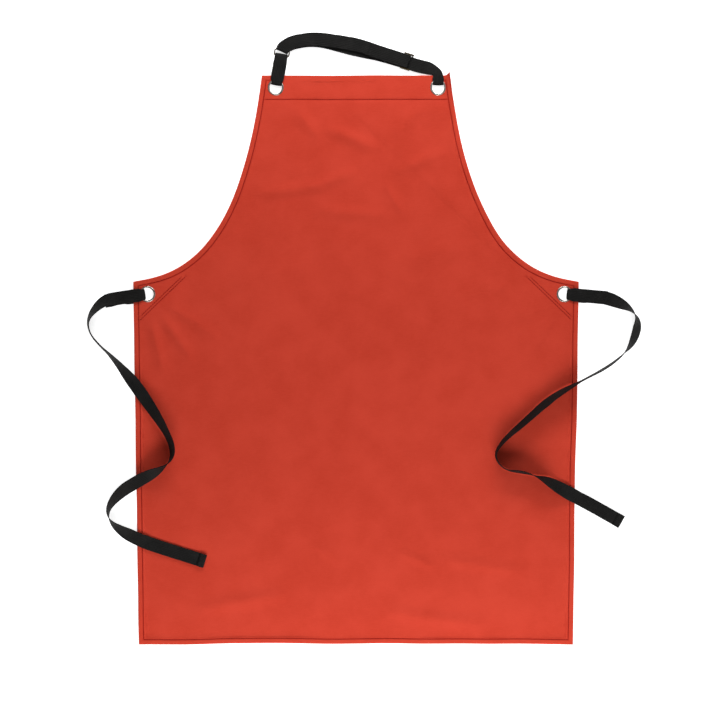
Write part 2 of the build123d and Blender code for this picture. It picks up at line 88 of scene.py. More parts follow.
# Cloth
PLY = 0.6 * MM
ROW_STEP = 2.5 * MM
GRID_STEP = 4.0 * MM
EYELET_LEVEL = 3.5 * MM
OPEN_LEVEL = 1.5 * MM
HEM_LEVEL = 2.2 * MM
FACE_LOWEST = 0.72 * MM
TABLE_CLEARANCE = 0.04 * MM
CLOTH_HOLE = 9.9 * MM

# Webbing
WEB_HALF = 10.5 * MM
WEB_THICK = 1.3 * MM
EYELET_WEB_HALF = 8.4 * MM
STATION_STEP = 2.0 * MM


def lerp(a, b, t):
    return a + (b - a) * t


def ease(low, high, value):
    """0 at low, 1 at high and smooth between."""
    t = min(1.0, max(0.0, (value - low) / (high - low)))
    return t * t * (3 - 2 * t)


def bell(distance, width):
    return math.exp(-((distance / width) ** 2))


def direction(degrees):
    return Vector((math.cos(math.radians(degrees)), math.sin(math.radians(degrees))))


def turned(vector, degrees):
    return Matrix.Rotation(math.radians(degrees), 2) @ vector


def level_left(heading):
    return np.array((-heading.y, heading.x, 0))


def box_middle(name):
    """Middle of a CAD node's box, seen from above."""
    low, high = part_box(name)
    return Vector(((low.x + high.x) / 2, (low.y + high.y) / 2))


def course_from(origin, heading, course):
    """Points ahead of an origin, from distances and heights in millimetres."""
    return [(*(origin + heading * distance * MM), height * MM) for distance, height in course]


def tree_of(points):
    tree = KDTree(len(points))
    for number, point in enumerate(points):
        tree.insert((*point, 0), number)
    tree.balance()
    return tree


EYELETS = {
    word: box_middle(f"eyelet_{word}") for word in ("waist_left", "waist_right", "bib_left", "bib_right")
}


# ---------------------------------------------------------------- outline of the cloth


def side_x(y):
    """Half-width of the skirt at a height."""
    return lerp(BOTTOM_HALF, WAIST_HALF, (y - BOTTOM) / (WAIST_Y - BOTTOM))


def armhole_at(inset, t):
    """Point of the right armhole, from the top edge at 0 to the waist at 1, moved into the cloth."""
    down = direction(ARMHOLE_TOP_LEAN - 90)
    back = direction(180 - ARMHOLE_WAIST_RISE)
    stretch = 1 + inset / ARMHOLE_RADIUS
    top = Vector((BIB_HALF, TOP)) + turned(down, -90) * inset
    waist = Vector((WAIST_HALF, WAIST_Y)) + turned(back, 90) * inset
    upper = top + down * ARMHOLE_TOP_PULL * stretch
    lower = waist + back * ARMHOLE_WAIST_PULL * stretch
    s = 1 - t
    return top * s**3 + upper * 3 * s * s * t + lower * 3 * s * t * t + waist * t**3


def crossing(test, low, high):
    """The value between low and high where test turns positive."""
    for _ in range(30):
        middle = (low + high) / 2
        if test(middle) > 0:
            high = middle
        else:
            low = middle
    return high


_ends = {}


def armhole_ends(inset):
    """Where an inset armhole meets the inset top edge and the inset side edge."""
    key = round(inset, 7)
    if key not in _ends:
        top = crossing(lambda t: TOP - inset - armhole_at(inset, t).y, 0.0, 0.3)
        waist = 1.0

        def past_side(t):
            point = armhole_at(inset, t)
            return point.x - (side_x(point.y) - inset)

        if inset > 0:
            waist = crossing(past_side, 0.6, 1.0)
        _ends[key] = (top, waist)
    return _ends[key]


ARMHOLE_MARKS = np.linspace(0, 1, 401)
_armhole = np.array([armhole_at(0, t) for t in ARMHOLE_MARKS])
ARMHOLE_LENGTHS = np.concatenate([[0], np.cumsum(np.linalg.norm(np.diff(_armhole, axis=0), axis=1))])


def bottom_edge(inset, u):
    half = side_x(BOTTOM + inset) - inset
    return Vector((lerp(-half, half, u), BOTTOM + inset))


def right_side(inset, u):
    high = armhole_at(inset, armhole_ends(inset)[1]).y
    y = lerp(BOTTOM + inset, high, u)
    return Vector((side_x(y) - inset, y))


def right_armhole(inset, u):
    top, waist = np.interp(armhole_ends(inset), ARMHOLE_MARKS, ARMHOLE_LENGTHS)
    t = float(np.interp(lerp(waist, top, u), ARMHOLE_LENGTHS, ARMHOLE_MARKS))
    return armhole_at(inset, t)


def top_edge(inset, u):
    half = armhole_at(inset, armhole_ends(inset)[0]).x
    return Vector((lerp(half, -half, u), TOP - inset))


def mirrored(edge):
    def other(inset, u):
        point = edge(inset, 1 - u)
        return Vector((-point.x, point.y))

    return other


left_armhole = mirrored(right_armhole)
left_side = mirrored(right_side)


def edge_length(edge, inset=0.0):
    points = [edge(inset, i / 60) for i in range(61)]
    return sum((b - a).length for a, b in zip(points, points[1:]))


EDGES = [bottom_edge, right_side, right_armhole, top_edge, left_armhole, left_side]
EDGE_COUNTS = [round(edge_length(edge) / ROW_STEP) for edge in EDGES]


def ring(inset):
    """Points round the cloth at one inset, mitred at its corners."""
    return [edge(inset, i / count) for edge, count in zip(EDGES, EDGE_COUNTS) for i in range(count)]


OUTLINE = ring(0.0)
outline_tree = tree_of([p for a, b in zip(OUTLINE, OUTLINE[1:] + OUTLINE[:1]) for p in (a, (a + b) / 2)])


def inset_of(x, y):
    return outline_tree.find((x, y, 0))[2]


# ---------------------------------------------------------------- how the cloth lies


def wave(x, y, size, seed):
    """Smooth noise from -1 to 1 whose features are about one size across."""
    return noise.noise(Vector((x / size, y / size, seed)))


def away_from(x, y, start, end):
    """Distance from a point to a straight stretch, and how far along it lies, from 0 to 1."""
    run = end - start
    t = min(1.0, max(0.0, (Vector((x, y)) - start).dot(run) / run.length_squared))
    return (Vector((x, y)) - start - run * t).length, t


# Soft wrinkles: start, end, and half-width and height in millimetres
WRINKLES = [
    ((-0.148, 0.262), (-0.062, 0.273), 9, 1.1),
    ((-0.066, 0.272), (-0.010, 0.293), 9, 1.0),
    ((-0.040, 0.362), (0.024, 0.334), 10, 1.0),
    ((-0.050, 0.234), (0.036, 0.228), 9, 0.9),
    ((0.070, 0.300), (0.128, 0.322), 10, 0.8),
    ((0.058, 0.150), (0.150, 0.176), 14, 0.8),
    ((-0.180, 0.120), (-0.090, 0.150), 14, 0.8),
    ((-0.318, 0.086), (-0.262, 0.010), 8, 1.0),
    ((-0.306, 0.090), (-0.222, 0.040), 8, 0.9),
    ((-0.326, 0.080), (-0.304, -0.010), 8, 0.8),
    ((0.320, 0.084), (0.276, 0.022), 8, 0.8),
    ((0.310, 0.092), (0.236, 0.060), 8, 0.7),
    ((-0.104, 0.404), (-0.060, 0.352), 10, 0.7),
    ((0.104, 0.404), (0.070, 0.360), 10, 0.7),
    ((0.050, 0.270), (0.071, 0.234), 7, 0.7),
    ((0.226, 0.118), (0.160, 0.094), 10, 0.6),
    ((-0.240, -0.390), (-0.120, -0.372), 12, 0.7),
    ((0.060, -0.400), (0.190, -0.416), 12, 0.7),
    ((0.076, -0.304), (0.118, -0.324), 7, 0.6),
    ((-0.060, -0.292), (-0.032, -0.316), 7, 0.5),
    ((0.140, -0.315), (0.258, -0.332), 10, 0.5),
]

# The top corner on the right turns up
CURL_START = 0.1370
CURL_END = 0.1500
CURL_LOW_Y = 0.385
CURL_RISE = 7.0 * MM
CURL_PULL = 5.5 * MM
CURL_LEAN = 1.0 * MM

SEAM_DEPTH = 0.5 * MM
SEAM_WIDTH = 0.9 * MM
PUCKER = 0.3 * MM
SLACK = 1.5 * MM
SLACK_WAVES = [(0.45, 0.19, 1.7), (0.32, 0.085, 4.1), (0.1, 0.03, 9.3)]
WRINKLE_GAIN = 3.2
DRIFT_SIZE = 0.09
CALM_FROM = 0.03
CALM_TO = 0.12
SIDE_DRIFT = 1.3 * MM
BOTTOM_SAG = 1.8 * MM
HELD_FROM = 0.027
HELD_TO = 0.070


def wrinkle_height(x, y):
    height = 0.0
    for start, end, width, rise in WRINKLES:
        distance, t = away_from(x, y, Vector(start), Vector(end))
        if distance < 3 * width * MM:
            swell = 0.35 + 0.65 * math.sin(math.pi * lerp(0.12, 0.88, t))
            height += rise * MM * bell(distance, width * MM) * swell
    return height


def curl(x, y):
    """How far the top right corner is turned up, from 0 to 1."""
    return ease(CURL_START, CURL_END, x) * ease(CURL_LOW_Y, TOP, y)


PATCH_CORNER = Vector((side_x(PATCH_LOW_Y) - HEM, PATCH_LOW_Y))
PATCH_RUN = (PATCH_INNER - PATCH_CORNER).normalized()
PATCH_ACROSS = turned(PATCH_RUN, 90)


def patch_seam(side, row):
    """Ends of one of the two rows of stitches across a waist patch."""
    margin = PATCH_RUN * (row + 0.5) * PATCH_SEAM_STEP
    start = PATCH_CORNER + margin - PATCH_ACROSS * row * PATCH_SEAM_STEP
    end = PATCH_INNER - margin - PATCH_ACROSS * row * PATCH_SEAM_STEP
    return Vector((side * start.x, start.y)), Vector((side * end.x, end.y))


PATCH_SEAMS = [patch_seam(side, row) for side in (-1, 1) for row in (1, 2)]


def in_patch(x, y):
    """1 over a waist patch, 0 off it, soft at its diagonal edge."""
    past = -(Vector((abs(x), y)) - PATCH_CORNER).dot(PATCH_ACROSS)
    return ease(-0.8 * MM, 0.8 * MM, past) if y > 0 else 0.0


def seam_nearness(x, y, inset, width):
    """1 on a row of stitches, fading to 0 beside it."""
    under_band = y > TOP - 1.5 * HEM and abs(x) < BIB_HALF - 1.5 * HEM
    near = 0.0 if under_band else bell(inset - HEM_SEAM, width)
    if y > BAND_LOW - 0.01 and inset > HEM_SEAM:
        near = max(near, bell(y - BAND_SEAM, width))
    if y > 0 and abs(x) > 0.2:
        for seam in PATCH_SEAMS:
            near = max(near, PATCH_SEAM_SHARE * bell(away_from(x, y, *seam)[0], width))
    return near


def from_eyelets(x, y):
    """Distance to the nearest eyelet's centre."""
    return min((Vector((x, y)) - centre).length for centre in EYELETS.values())


def face_height(x, y, inset=None):
    """Height of the cloth's face over the table."""
    if inset is None:
        inset = inset_of(x, y)
    hem = 1 - ease(HEM - 0.2 * MM, HEM + 2.2 * MM, inset)
    slack = sum(share * wave(x, y, size, seed) for share, size, seed in SLACK_WAVES)
    inner = OPEN_LEVEL + SLACK * slack + WRINKLE_GAIN * wrinkle_height(x, y)
    ripple = 0.55 * max(0.0, 0.35 + wave(x, y, 0.06, 12.9)) + 0.22 * wave(x, y, 0.012, 20.3)
    height = max(FACE_LOWEST, lerp(inner, HEM_LEVEL + ripple * MM, hem))
    double = max(in_patch(x, y), ease(BAND_LOW - 0.8 * MM, BAND_LOW + 0.8 * MM, y)) * (1 - hem)
    height += double * PLY
    dips = -SEAM_DEPTH * seam_nearness(x, y, inset, SEAM_WIDTH)
    dips += PUCKER * wave(x, y, 0.009, 31.0) * seam_nearness(x, y, inset, 4 * MM)
    held = 1 - ease(HELD_FROM, HELD_TO, from_eyelets(x, y))
    height = lerp(height, EYELET_LEVEL, held) + dips * (1 - 0.65 * held)
    return height + CURL_RISE * curl(x, y) ** 1.3


def drift(x, y):
    """How far the laid cloth strays sideways from its cut."""
    calm = ease(CALM_FROM, CALM_TO, from_eyelets(x, y))
    dx, dy = (SIDE_DRIFT * wave(x, y, DRIFT_SIZE, seed) * calm for seed in (40.5, 50.5))
    dy += BOTTOM_SAG * ease(-0.3, BOTTOM, y) * (1 - (x / BOTTOM_HALF) ** 2)
    lifted = curl(x, y)
    return dx - CURL_LEAN * lifted, dy + CURL_PULL * lifted**2


def settled(x, y, level, inset=None):
    """Where a point of the flat pattern lies. Its level is its height over the cloth's face."""
    dx, dy = drift(x, y)
    return Vector((x + dx, y + dy, max(TABLE_CLEARANCE, face_height(x, y, inset) + level)))


# ---------------------------------------------------------------- meshes


def piece(name, vertices, faces, slot, body, replaced=(), attributes=None):
    """A mesh object that rides on a body and stands for some CAD nodes."""
    mesh = bpy.data.meshes.new(name)
    mesh.from_pydata([tuple(v) for v in vertices], [], faces)
    shape = bmesh.new()
    shape.from_mesh(mesh)
    bmesh.ops.recalc_face_normals(shape, faces=shape.faces)
    shape.to_mesh(mesh)
    shape.free()
    mesh.polygons.foreach_set("use_smooth", [True] * len(mesh.polygons))
    for key, values in (attributes or {}).items():
        kind = "FLOAT_VECTOR" if np.ndim(values) == 2 else "FLOAT"
        field = "vector" if kind == "FLOAT_VECTOR" else "value"
        mesh.attributes.new(key, kind, "POINT").data.foreach_set(field, np.ravel(values).astype(np.float32))
    mesh.materials.append(LOOKS[slot])
    made = bpy.data.objects.new(name, mesh)
    bpy.context.collection.objects.link(made)
    if body:
        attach(made, body)
    if replaced:
        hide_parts(*replaced)
    return made


def band_faces(first, second, count):
    """Quads between two closed rows of vertices that start at two indices."""
    return [(first + i, first + (i + 1) % count, second + (i + 1) % count, second + i) for i in range(count)]


def tube_faces(rows, count, closed=True, start=0):
    """Quads along closed rows of vertices: round to the first row again, or with a face at each end."""
    firsts = [start + k * count for k in range(rows)]
    pairs = zip(firsts, firsts[1:] + firsts[:1] if closed else firsts[1:])
    faces = [face for first, second in pairs for face in band_faces(first, second, count)]
    ends = [] if closed else [firsts[0], firsts[-1]]
    return faces + [tuple(range(first, first + count)) for first in ends]


def inside(points, outline):
    """Which of many points are inside a closed outline."""
    odd = np.zeros(len(points), bool)
    for (x0, y0), (x1, y1) in zip(outline, np.roll(outline, -1, axis=0)):
        spans = (points[:, 1] < y0) != (points[:, 1] < y1)
        if spans.any():
            reach = x0 + (points[spans, 1] - y0) / (y1 - y0) * (x1 - x0)
            odd[spans] ^= points[spans, 0] < reach
    return odd


def filled(boundary, holes, spacing, rows=()):
    """Triangles over a flat outline with round holes, on a staggered grid with extra rows of points.

    The boundary's points come first, then each hole's, in the order given.
    """
    outline = np.array([tuple(p) for p in boundary])
    points = [Vector(p) for p in boundary]
    edges = [(i, (i + 1) % len(points)) for i in range(len(points))]
    for centre, radius, count in holes:
        first = len(points)
        points += [centre + direction(360 * k / count) * radius for k in range(count)]
        edges += [(first + k, first + (k + 1) % count) for k in range(count)]
    tree = tree_of(boundary)

    def usable(candidates, clearance):
        candidates = candidates[inside(candidates, outline)]
        for centre, radius, _ in holes:
            candidates = candidates[np.linalg.norm(candidates - centre, axis=1) > radius + 0.5 * MM]
        return [Vector(p) for p in candidates if tree.find((*p, 0))[2] > clearance]

    taken = set()
    if rows:
        for p in usable(np.array([tuple(p) for row in rows for p in row]), 0.7 * MM):
            cell = (round(p.x / (0.4 * MM)), round(p.y / (0.4 * MM)))
            if cell not in taken:
                taken.add(cell)
                points.append(p)
    crowded = {
        (round(p.x / spacing) + dx, round(p.y / spacing) + dy)
        for p in points[len(boundary):]
        for dx in (-1, 0, 1)
        for dy in (-1, 0, 1)
        if (Vector((round(p.x / spacing) + dx, round(p.y / spacing) + dy)) * spacing - p).length < spacing
    }
    low, high = outline.min(0), outline.max(0)
    grid = [
        ((i + 0.5 * (j % 2)) * spacing, j * spacing)
        for i in range(math.floor(low[0] / spacing), math.ceil(high[0] / spacing) + 1)
        for j in range(math.floor(low[1] / spacing), math.ceil(high[1] / spacing) + 1)
    ]
    for p in usable(np.array(grid), 0.7 * spacing):
        if (round(p.x / spacing), round(p.y / spacing)) not in crowded:
            points.append(p)
    vertices, _, faces, originals = delaunay_2d_cdt(points, edges, [], 1, 1e-7)[:4]
    kept = []
    for face in faces:
        middle = sum((vertices[v] for v in face), Vector((0, 0))) / len(face)
        if all((middle - centre).length > radius * 0.98 for centre, radius, _ in holes):
            kept.append(tuple(originals[v][0] for v in face))
    return points, kept


def row_between(start, end, offset=0.0):
    """Evenly spaced points along a straight seam, or beside it."""
    run = end - start
    side = turned(run, 90).normalized() * offset
    count = max(2, round(run.length / ROW_STEP))
    return [start + run * (i / count) + side for i in range(count + 1)]


def smooth_line(points, cyclic=False):
    """The line of a NURBS curve of order 3 with these control points."""
    curve = bpy.data.curves.new("route", "CURVE")
    curve.dimensions = "3D"
    curve.resolution_u = 20
    spline = curve.splines.new("NURBS")
    spline.points.add(len(points) - 1)
    for point, place in zip(spline.points, points):
        point.co = (*place, 1)
    spline.order_u = 3
    spline.use_endpoint_u = not cyclic
    spline.use_cyclic_u = cyclic
    holder = bpy.data.objects.new("route", curve)
    mesh = bpy.data.meshes.new_from_object(holder)
    line = np.array([tuple(v.co) for v in mesh.vertices])
    bpy.data.objects.remove(holder)
    bpy.data.meshes.remove(mesh)
    bpy.data.curves.remove(curve)
    return line


def spaced(line, step=STATION_STEP):
    """Evenly spaced points along a line, and their distances along it."""
    lengths = along(line)
    marks = np.linspace(0, lengths[-1], max(3, round(lengths[-1] / step) + 1))
    return np.stack([np.interp(marks, lengths, line[:, k]) for k in range(3)], 1), marks


def along(line):
    return np.concatenate([[0], np.cumsum(np.linalg.norm(np.diff(line, axis=0), axis=1))])


def unit(vectors):
    return vectors / np.maximum(np.linalg.norm(vectors, axis=-1, keepdims=True), 1e-12)


def slopes(line, closed=False):
    if closed:
        return unit(np.roll(line, -1, axis=0) - np.roll(line, 1, axis=0))
    return unit(np.gradient(line, axis=0))


def web_profile():
    """Section of the webbing: its place across from -1 to 1, and its two offsets from there."""
    flat = np.linspace(-1, 1, 13)
    half = WEB_THICK / 2
    rounds = [(math.sin(a), math.cos(a)) for a in np.radians((35, 90, 145))]
    face = [(u, 0.0, half) for u in flat]
    right = [(1.0, half * s, half * c) for s, c in rounds]
    back = [(u, 0.0, -half) for u in flat[::-1]]
    left = [(-1.0, -half * s, -half * c) for s, c in rounds]
    return np.array(face + right + back + left)


WEB_PROFILE = web_profile()
EDGE_WANDER = 0.35 * MM


def webbing(name, centres, across, halves, cup, body, replaced=(), closed=False):
    """Flat woven webbing with rounded selvedges. Each station has a centre, a direction and a half-width."""
    tangents = slopes(centres, closed)
    across = unit(across - tangents * (across * tangents).sum(1, keepdims=True))
    normals = np.cross(tangents, across)
    distance = along(centres)
    vertices, lay = [], []
    for k, centre in enumerate(centres):
        reach = halves[k] - WEB_THICK / 2 + EDGE_WANDER * wave(distance[k], 0.0, 0.016, len(name))
        for u, out, up in WEB_PROFILE:
            a = u * reach + out
            vertices.append(centre + across[k] * a + normals[k] * (up - cup[k] * u * u))
            lay.append((u * (WEB_HALF - WEB_THICK / 2) + out, distance[k], up))
    faces = [tuple(reversed(face)) for face in tube_faces(len(centres), len(WEB_PROFILE), closed)]
    return piece(name, vertices, faces, "webbing", body, replaced, {"lay": lay})


def softened(values, distances, reach):
    """Values along a line, each averaged with its neighbours within reach."""
    half = max(1, round(reach / (distances[1] - distances[0])))
    kernel = np.hanning(2 * half + 3)[1:-1]
    padded = np.pad(values, half, mode="edge")
    return np.convolve(padded, kernel / kernel.sum(), mode="valid")


def apart_from(line, place):
    """Level distance of every point of a line from a place."""
    return np.linalg.norm(line[:, :2] - np.array(place), axis=1)


def set_along(line, distances, places, reach):
    """A value at every point of a line, from given places (x, y, value)."""
    marks = [distances[np.argmin(apart_from(line, p[:2]))] for p in places]
    return softened(np.interp(distances, marks, [p[2] for p in places]), distances, reach)


# ---------------------------------------------------------------- materials


def new_material(name, roughness, metallic=0.0):
    made = bpy.data.materials.new(name)
    made.use_nodes = True
    shader = made.node_tree.nodes["Principled BSDF"]
    shader.inputs["Roughness"].default_value = roughness
    shader.inputs["Metallic"].default_value = metallic
    return made, made.node_tree, shader


def fill(tree, target, inputs):
    """Sets or links a node's inputs."""
    for key, value in inputs.items():
        if isinstance(value, bpy.types.NodeSocket):
            tree.links.new(value, target.inputs[key])
        else:
            target.inputs[key].default_value = value


def node(tree, kind, inputs=None, **settings):
    """Adds a node with its options and its inputs."""
    made = tree.nodes.new(f"ShaderNode{kind}")
    for key, value in settings.items():
        setattr(made, key, value)
    fill(tree, made, inputs or {})
    return made


def sums(tree, operation, *values):
    """A Math node's result."""
    return node(tree, "Math", dict(enumerate(values)), operation=operation).outputs[0]


def mottle(tree, place, size, detail=2.0):
    """Smooth noise from 0 to 1 with features about one size across."""
    return node(tree, "TexNoise", {"Vector": place, "Scale": 1 / size, "Detail": detail}).outputs["Fac"]


def spread(tree, value, low, high, to_low=0.0, to_high=1.0):
    inputs = {"Value": value, "From Min": low, "From Max": high, "To Min": to_low, "To Max": to_high}
    return node(tree, "MapRange", inputs, interpolation_type="SMOOTHSTEP").outputs[0]


def blended(tree, factor, first, second):
    mixer = node(tree, "Mix", data_type="RGBA")
    colours = {key: (*c, 1) if isinstance(c, tuple) else c for key, c in ((6, first), (7, second))}
    fill(tree, mixer, {0: factor, **colours})
    return mixer.outputs[2]


def ripple(tree, value, pitch):
    """A sine from -1 to 1 along a length, with one pitch."""
    return sums(tree, "SINE", sums(tree, "MULTIPLY", value, TAU / pitch))


def bumped(tree, shader, height, depth):
    bump = node(tree, "Bump", {"Height": height, "Distance": depth, "Strength": 1.0})
    fill(tree, shader, {"Normal": bump.outputs[0]})


def canvas_material():
    """Plain-woven cotton, dyed red, a little faded on its folded edges, with painted shade in the gaps of its
    weave, along its rows of stitches and on the rim of its turned-up corner.
    """
    made, tree, shader = new_material("canvas", 0.88)
    place = node(tree, "TexCoord").outputs["Object"]
    waver = mottle(tree, place, 0.006)
    split = node(tree, "SeparateXYZ", {0: place})
    warp, weft = (sums(tree, "MULTIPLY_ADD", waver, YARN_WANDER, split.outputs[i]) for i in (0, 1))
    weave = sums(tree, "MULTIPLY", ripple(tree, warp, WARP_PITCH), ripple(tree, weft, WEFT_PITCH))
    slubs = mottle(tree, node(tree, "Mapping", {0: place, "Scale": (1.0, 14.0, 1.0)}).outputs[0], 0.012, 3.0)
    height = sums(tree, "MULTIPLY_ADD", weave, 0.5, sums(tree, "MULTIPLY", slubs, 0.8))
    bumped(tree, shader, height, 0.00012)
    broad = sums(tree, "MULTIPLY_ADD", mottle(tree, place, 0.16), 0.6, mottle(tree, place, 0.045, 4.0))
    fine = sums(tree, "MULTIPLY_ADD", mottle(tree, place, 0.004, 3.0), 0.5, slubs)
    colour = blended(tree, spread(tree, broad, 0.55, 1.05), CANVAS_DEEP, CANVAS_RED)
    colour = blended(tree, spread(tree, fine, 0.5, 1.05, 0.0, 0.35), colour, CANVAS_PALE)
    # Painted shade: the gaps between the yarns are darkened towards the dark shade colour.
    weave_gap_shade = spread(tree, weave, -1.0, 0.2, 0.2, 0.0)
    colour = blended(tree, weave_gap_shade, colour, CANVAS_PAINTED_SHADE)
    wear = node(tree, "Attribute", attribute_name="wear").outputs["Fac"]
    worn = sums(tree, "MULTIPLY", wear, spread(tree, mottle(tree, place, 0.01, 3.0), 0.3, 0.7, 0.25, 0.9))
    colour = blended(tree, worn, colour, CANVAS_WORN)
    # Painted shade: the seam attribute darkens the cloth along the rows of stitches, where it dips, and on
    # the rim of the turned-up corner.
    seam = node(tree, "Attribute", attribute_name="seam").outputs["Fac"]
    colour = blended(tree, sums(tree, "MULTIPLY", seam, 0.9), colour, CANVAS_PAINTED_SHADE)
    fill(tree, shader, {
        "Base Color": colour,
        "Roughness": spread(tree, broad, 0.5, 1.1, 0.94, 0.8),
        "Specular IOR Level": 0.12,
        "Sheen Weight": 0.04,
        "Sheen Roughness": 0.5,
        "Sheen Tint": (1.0, 0.62, 0.55, 1),
    })
    return made


def webbing_material():
    """Black ribbed webbing: lengthwise ribs of alternating picks, with painted light on the raised ribs and
    picks and painted shade in the grooves between them.
    """
    made, tree, shader = new_material("webbing", 0.72)
    lay = node(tree, "Attribute", attribute_name="lay").outputs["Vector"]
    split = node(tree, "SeparateXYZ", {0: lay})
    across, along_it = split.outputs[0], split.outputs[1]
    rib = sums(tree, "ABSOLUTE", ripple(tree, across, 2 * RIB_PITCH))
    odd = sums(tree, "PINGPONG", sums(tree, "FLOOR", sums(tree, "DIVIDE", across, RIB_PITCH)), 1.0)
    shifted = sums(tree, "MULTIPLY_ADD", odd, PICK_PITCH / 2, along_it)
    picks = ripple(tree, sums(tree, "MULTIPLY_ADD", rib, PICK_PITCH * 0.35, shifted), PICK_PITCH)
    fuzz = mottle(tree, node(tree, "Mapping", {0: lay, "Scale": (2.5, 1.0, 1.0)}).outputs[0], 0.0012, 3.0)
    height = sums(tree, "MULTIPLY_ADD", picks, 0.28, rib)
    bumped(tree, shader, sums(tree, "MULTIPLY_ADD", fuzz, 0.3, height), 0.00028)
    # Painted light and shade: the raised ribs and picks are coloured lighter and the grooves nearly black.
    lit = spread(tree, sums(tree, "MULTIPLY_ADD", picks, 0.25, rib), 0.2, 1.15)
    colour = blended(tree, lit, WEBBING_GROOVE_SHADE, WEBBING_BLACK)
    dusty = spread(tree, mottle(tree, lay, 0.03, 3.0), 0.42, 0.72, 0.0, 0.55)
    colour = blended(tree, dusty, colour, WEBBING_GREY)
    worn = spread(tree, fuzz, 0.3, 0.7, 0.6, 0.85)
    fill(tree, shader, {"Base Color": colour, "Roughness": worn, "Specular IOR Level": 0.16})
    return made


def thread_material(name, deep, pale):
    """Twisted thread, its plies wound round each other."""
    made, tree, shader = new_material(name, 0.7)
    lay = node(tree, "Attribute", attribute_name="lay").outputs["Vector"]
    split = node(tree, "SeparateXYZ", {0: lay})
    wound = ripple(tree, sums(tree, "ADD", split.outputs[1], split.outputs[0]), TWIST_PITCH)
    bumped(tree, shader, wound, 0.00008)
    # Random mottling, plus painted light and shade that follow the twist of the plies.
    shade = sums(tree, "MULTIPLY_ADD", mottle(tree, lay, 0.005), 0.8, sums(tree, "MULTIPLY", wound, 0.2))
    colour = blended(tree, spread(tree, shade, 0.1, 0.8), deep, pale)
    fill(tree, shader, {"Base Color": colour, "Specular IOR Level": 0.1})
    return made


def metal_material(name, colour, tarnish, roughness):
    """Plated metal with fine scratches and uneven tarnish."""
    made, tree, shader = new_material(name, roughness, 1.0)
    place = node(tree, "TexCoord").outputs["Object"]
    scratched = node(tree, "Mapping", {0: place, "Scale": (1.0, 9.0, 1.0)}).outputs[0]
    scratches = mottle(tree, scratched, 0.0012, 4.0)
    cloudy = mottle(tree, place, 0.005, 4.0)
    plating = blended(tree, spread(tree, cloudy, 0.4, 0.75), colour, tarnish)
    rubbed = spread(tree, scratches, 0.3, 0.75, roughness * 0.7, roughness * 1.6)
    fill(tree, shader, {"Base Color": plating, "Roughness": rubbed})
    bumped(tree, shader, scratches, 0.00002)
    return made


CANVAS_RED = (0.60, 0.051, 0.026)
CANVAS_DEEP = (0.54, 0.043, 0.021)
CANVAS_PALE = (0.64, 0.064, 0.034)
CANVAS_WORN = (0.70, 0.10, 0.055)
# Painted shade colour, for the weave's gaps, the rows of stitches and the turned-up corner's rim.
CANVAS_PAINTED_SHADE = (0.27, 0.003, 0.0015)
WARP_PITCH = 1.7 * MM
WEFT_PITCH = 1.5 * MM
YARN_WANDER = 0.35 * MM
TWIST_PITCH = 0.7 * MM
RIB_PITCH = 2.6 * MM
PICK_PITCH = 1.6 * MM
WEBBING_BLACK = (0.0088, 0.0082, 0.0077)
WEBBING_GROOVE_SHADE = (0.0008, 0.0008, 0.0007)
WEBBING_GREY = (0.0125, 0.0118, 0.0110)

# The material of each slot
LOOKS = {
    "canvas": canvas_material(),
    "webbing": webbing_material(),
    "cloth_thread": thread_material("cloth_thread", (0.19, 0.0025, 0.0015), (0.30, 0.005, 0.003)),
    "webbing_thread": thread_material("webbing_thread", (0.006, 0.006, 0.006), (0.022, 0.021, 0.020)),
    "eyelet_metal": metal_material("eyelet_metal", (0.54, 0.515, 0.475), (0.30, 0.275, 0.24), 0.27),
    "buckle_metal": metal_material("buckle_metal", (0.095, 0.070, 0.032), (0.034, 0.025, 0.015), 0.4),
}


# ---------------------------------------------------------------- view and light

VIEW_WIDTH = 1.132
VIEW_MIDDLE = 0.0063
TABLE_REACH = 6.0
TABLE_GLOW = 0.72
WORLD_LIGHT = 0.15

# Softboxes: place, what it's turned towards, size and power
SOFTBOXES = [
    ((1.45, 0.0, 0.95), (0.2, 0.0, 0.0), (0.7, 1.1), 2.6),
    ((0.08, -1.2, 0.62), (0.0, -0.45, 0.0), (1.3, 0.4), 18.2),
    ((0.10, 1.25, 0.62), (0.0, 0.45, 0.0), (1.3, 0.4), 18.0),
]


def studio():
    """White lit table, softboxes round it and a camera straight above."""
    bpy.context.scene.view_settings.view_transform = "Standard"
    world = bpy.data.worlds.new("studio")
    bpy.context.scene.world = world
    world.use_nodes = True
    sky = world.node_tree.nodes["Background"]
    fill(world.node_tree, sky, {0: (1, 0.995, 0.985, 1), 1: WORLD_LIGHT})
    for place, aim, size, energy in SOFTBOXES:
        lamp = bpy.data.lights.new("softbox", "AREA")
        lamp.shape = "RECTANGLE"
        lamp.size, lamp.size_y = size
        lamp.energy = energy
        holder = bpy.data.objects.new("softbox", lamp)
        holder.location = place
        holder.rotation_euler = (Vector(place) - Vector(aim)).to_track_quat("Z", "Y").to_euler()
        bpy.context.collection.objects.link(holder)

    floor = bpy.data.meshes.new("table")
    corners = [(x * TABLE_REACH, y * TABLE_REACH, 0) for x, y in ((-1, -1), (1, -1), (1, 1), (-1, 1))]
    floor.from_pydata(corners, [], [(0, 1, 2, 3)])
    white, tree, shader = new_material("table", 0.9)
    fill(tree, shader, {
        "Base Color": (0.93, 0.93, 0.93, 1),
        "Specular IOR Level": 0.0,
        "Emission Color": (1, 1, 1, 1),
        "Emission Strength": TABLE_GLOW,
    })
    floor.materials.append(white)
    table = bpy.data.objects.new("table", floor)
    bpy.context.collection.objects.link(table)

    lens = bpy.data.cameras.new("camera")
    lens.lens = 85
    lens.sensor_width = 36
    camera = bpy.data.objects.new("camera", lens)
    camera.location = (VIEW_MIDDLE, 0.0, VIEW_WIDTH * lens.lens / lens.sensor_width)
    bpy.context.collection.objects.link(camera)
    bpy.context.scene.camera = camera
    return table


TABLE = studio()


# ---------------------------------------------------------------- cloth pieces

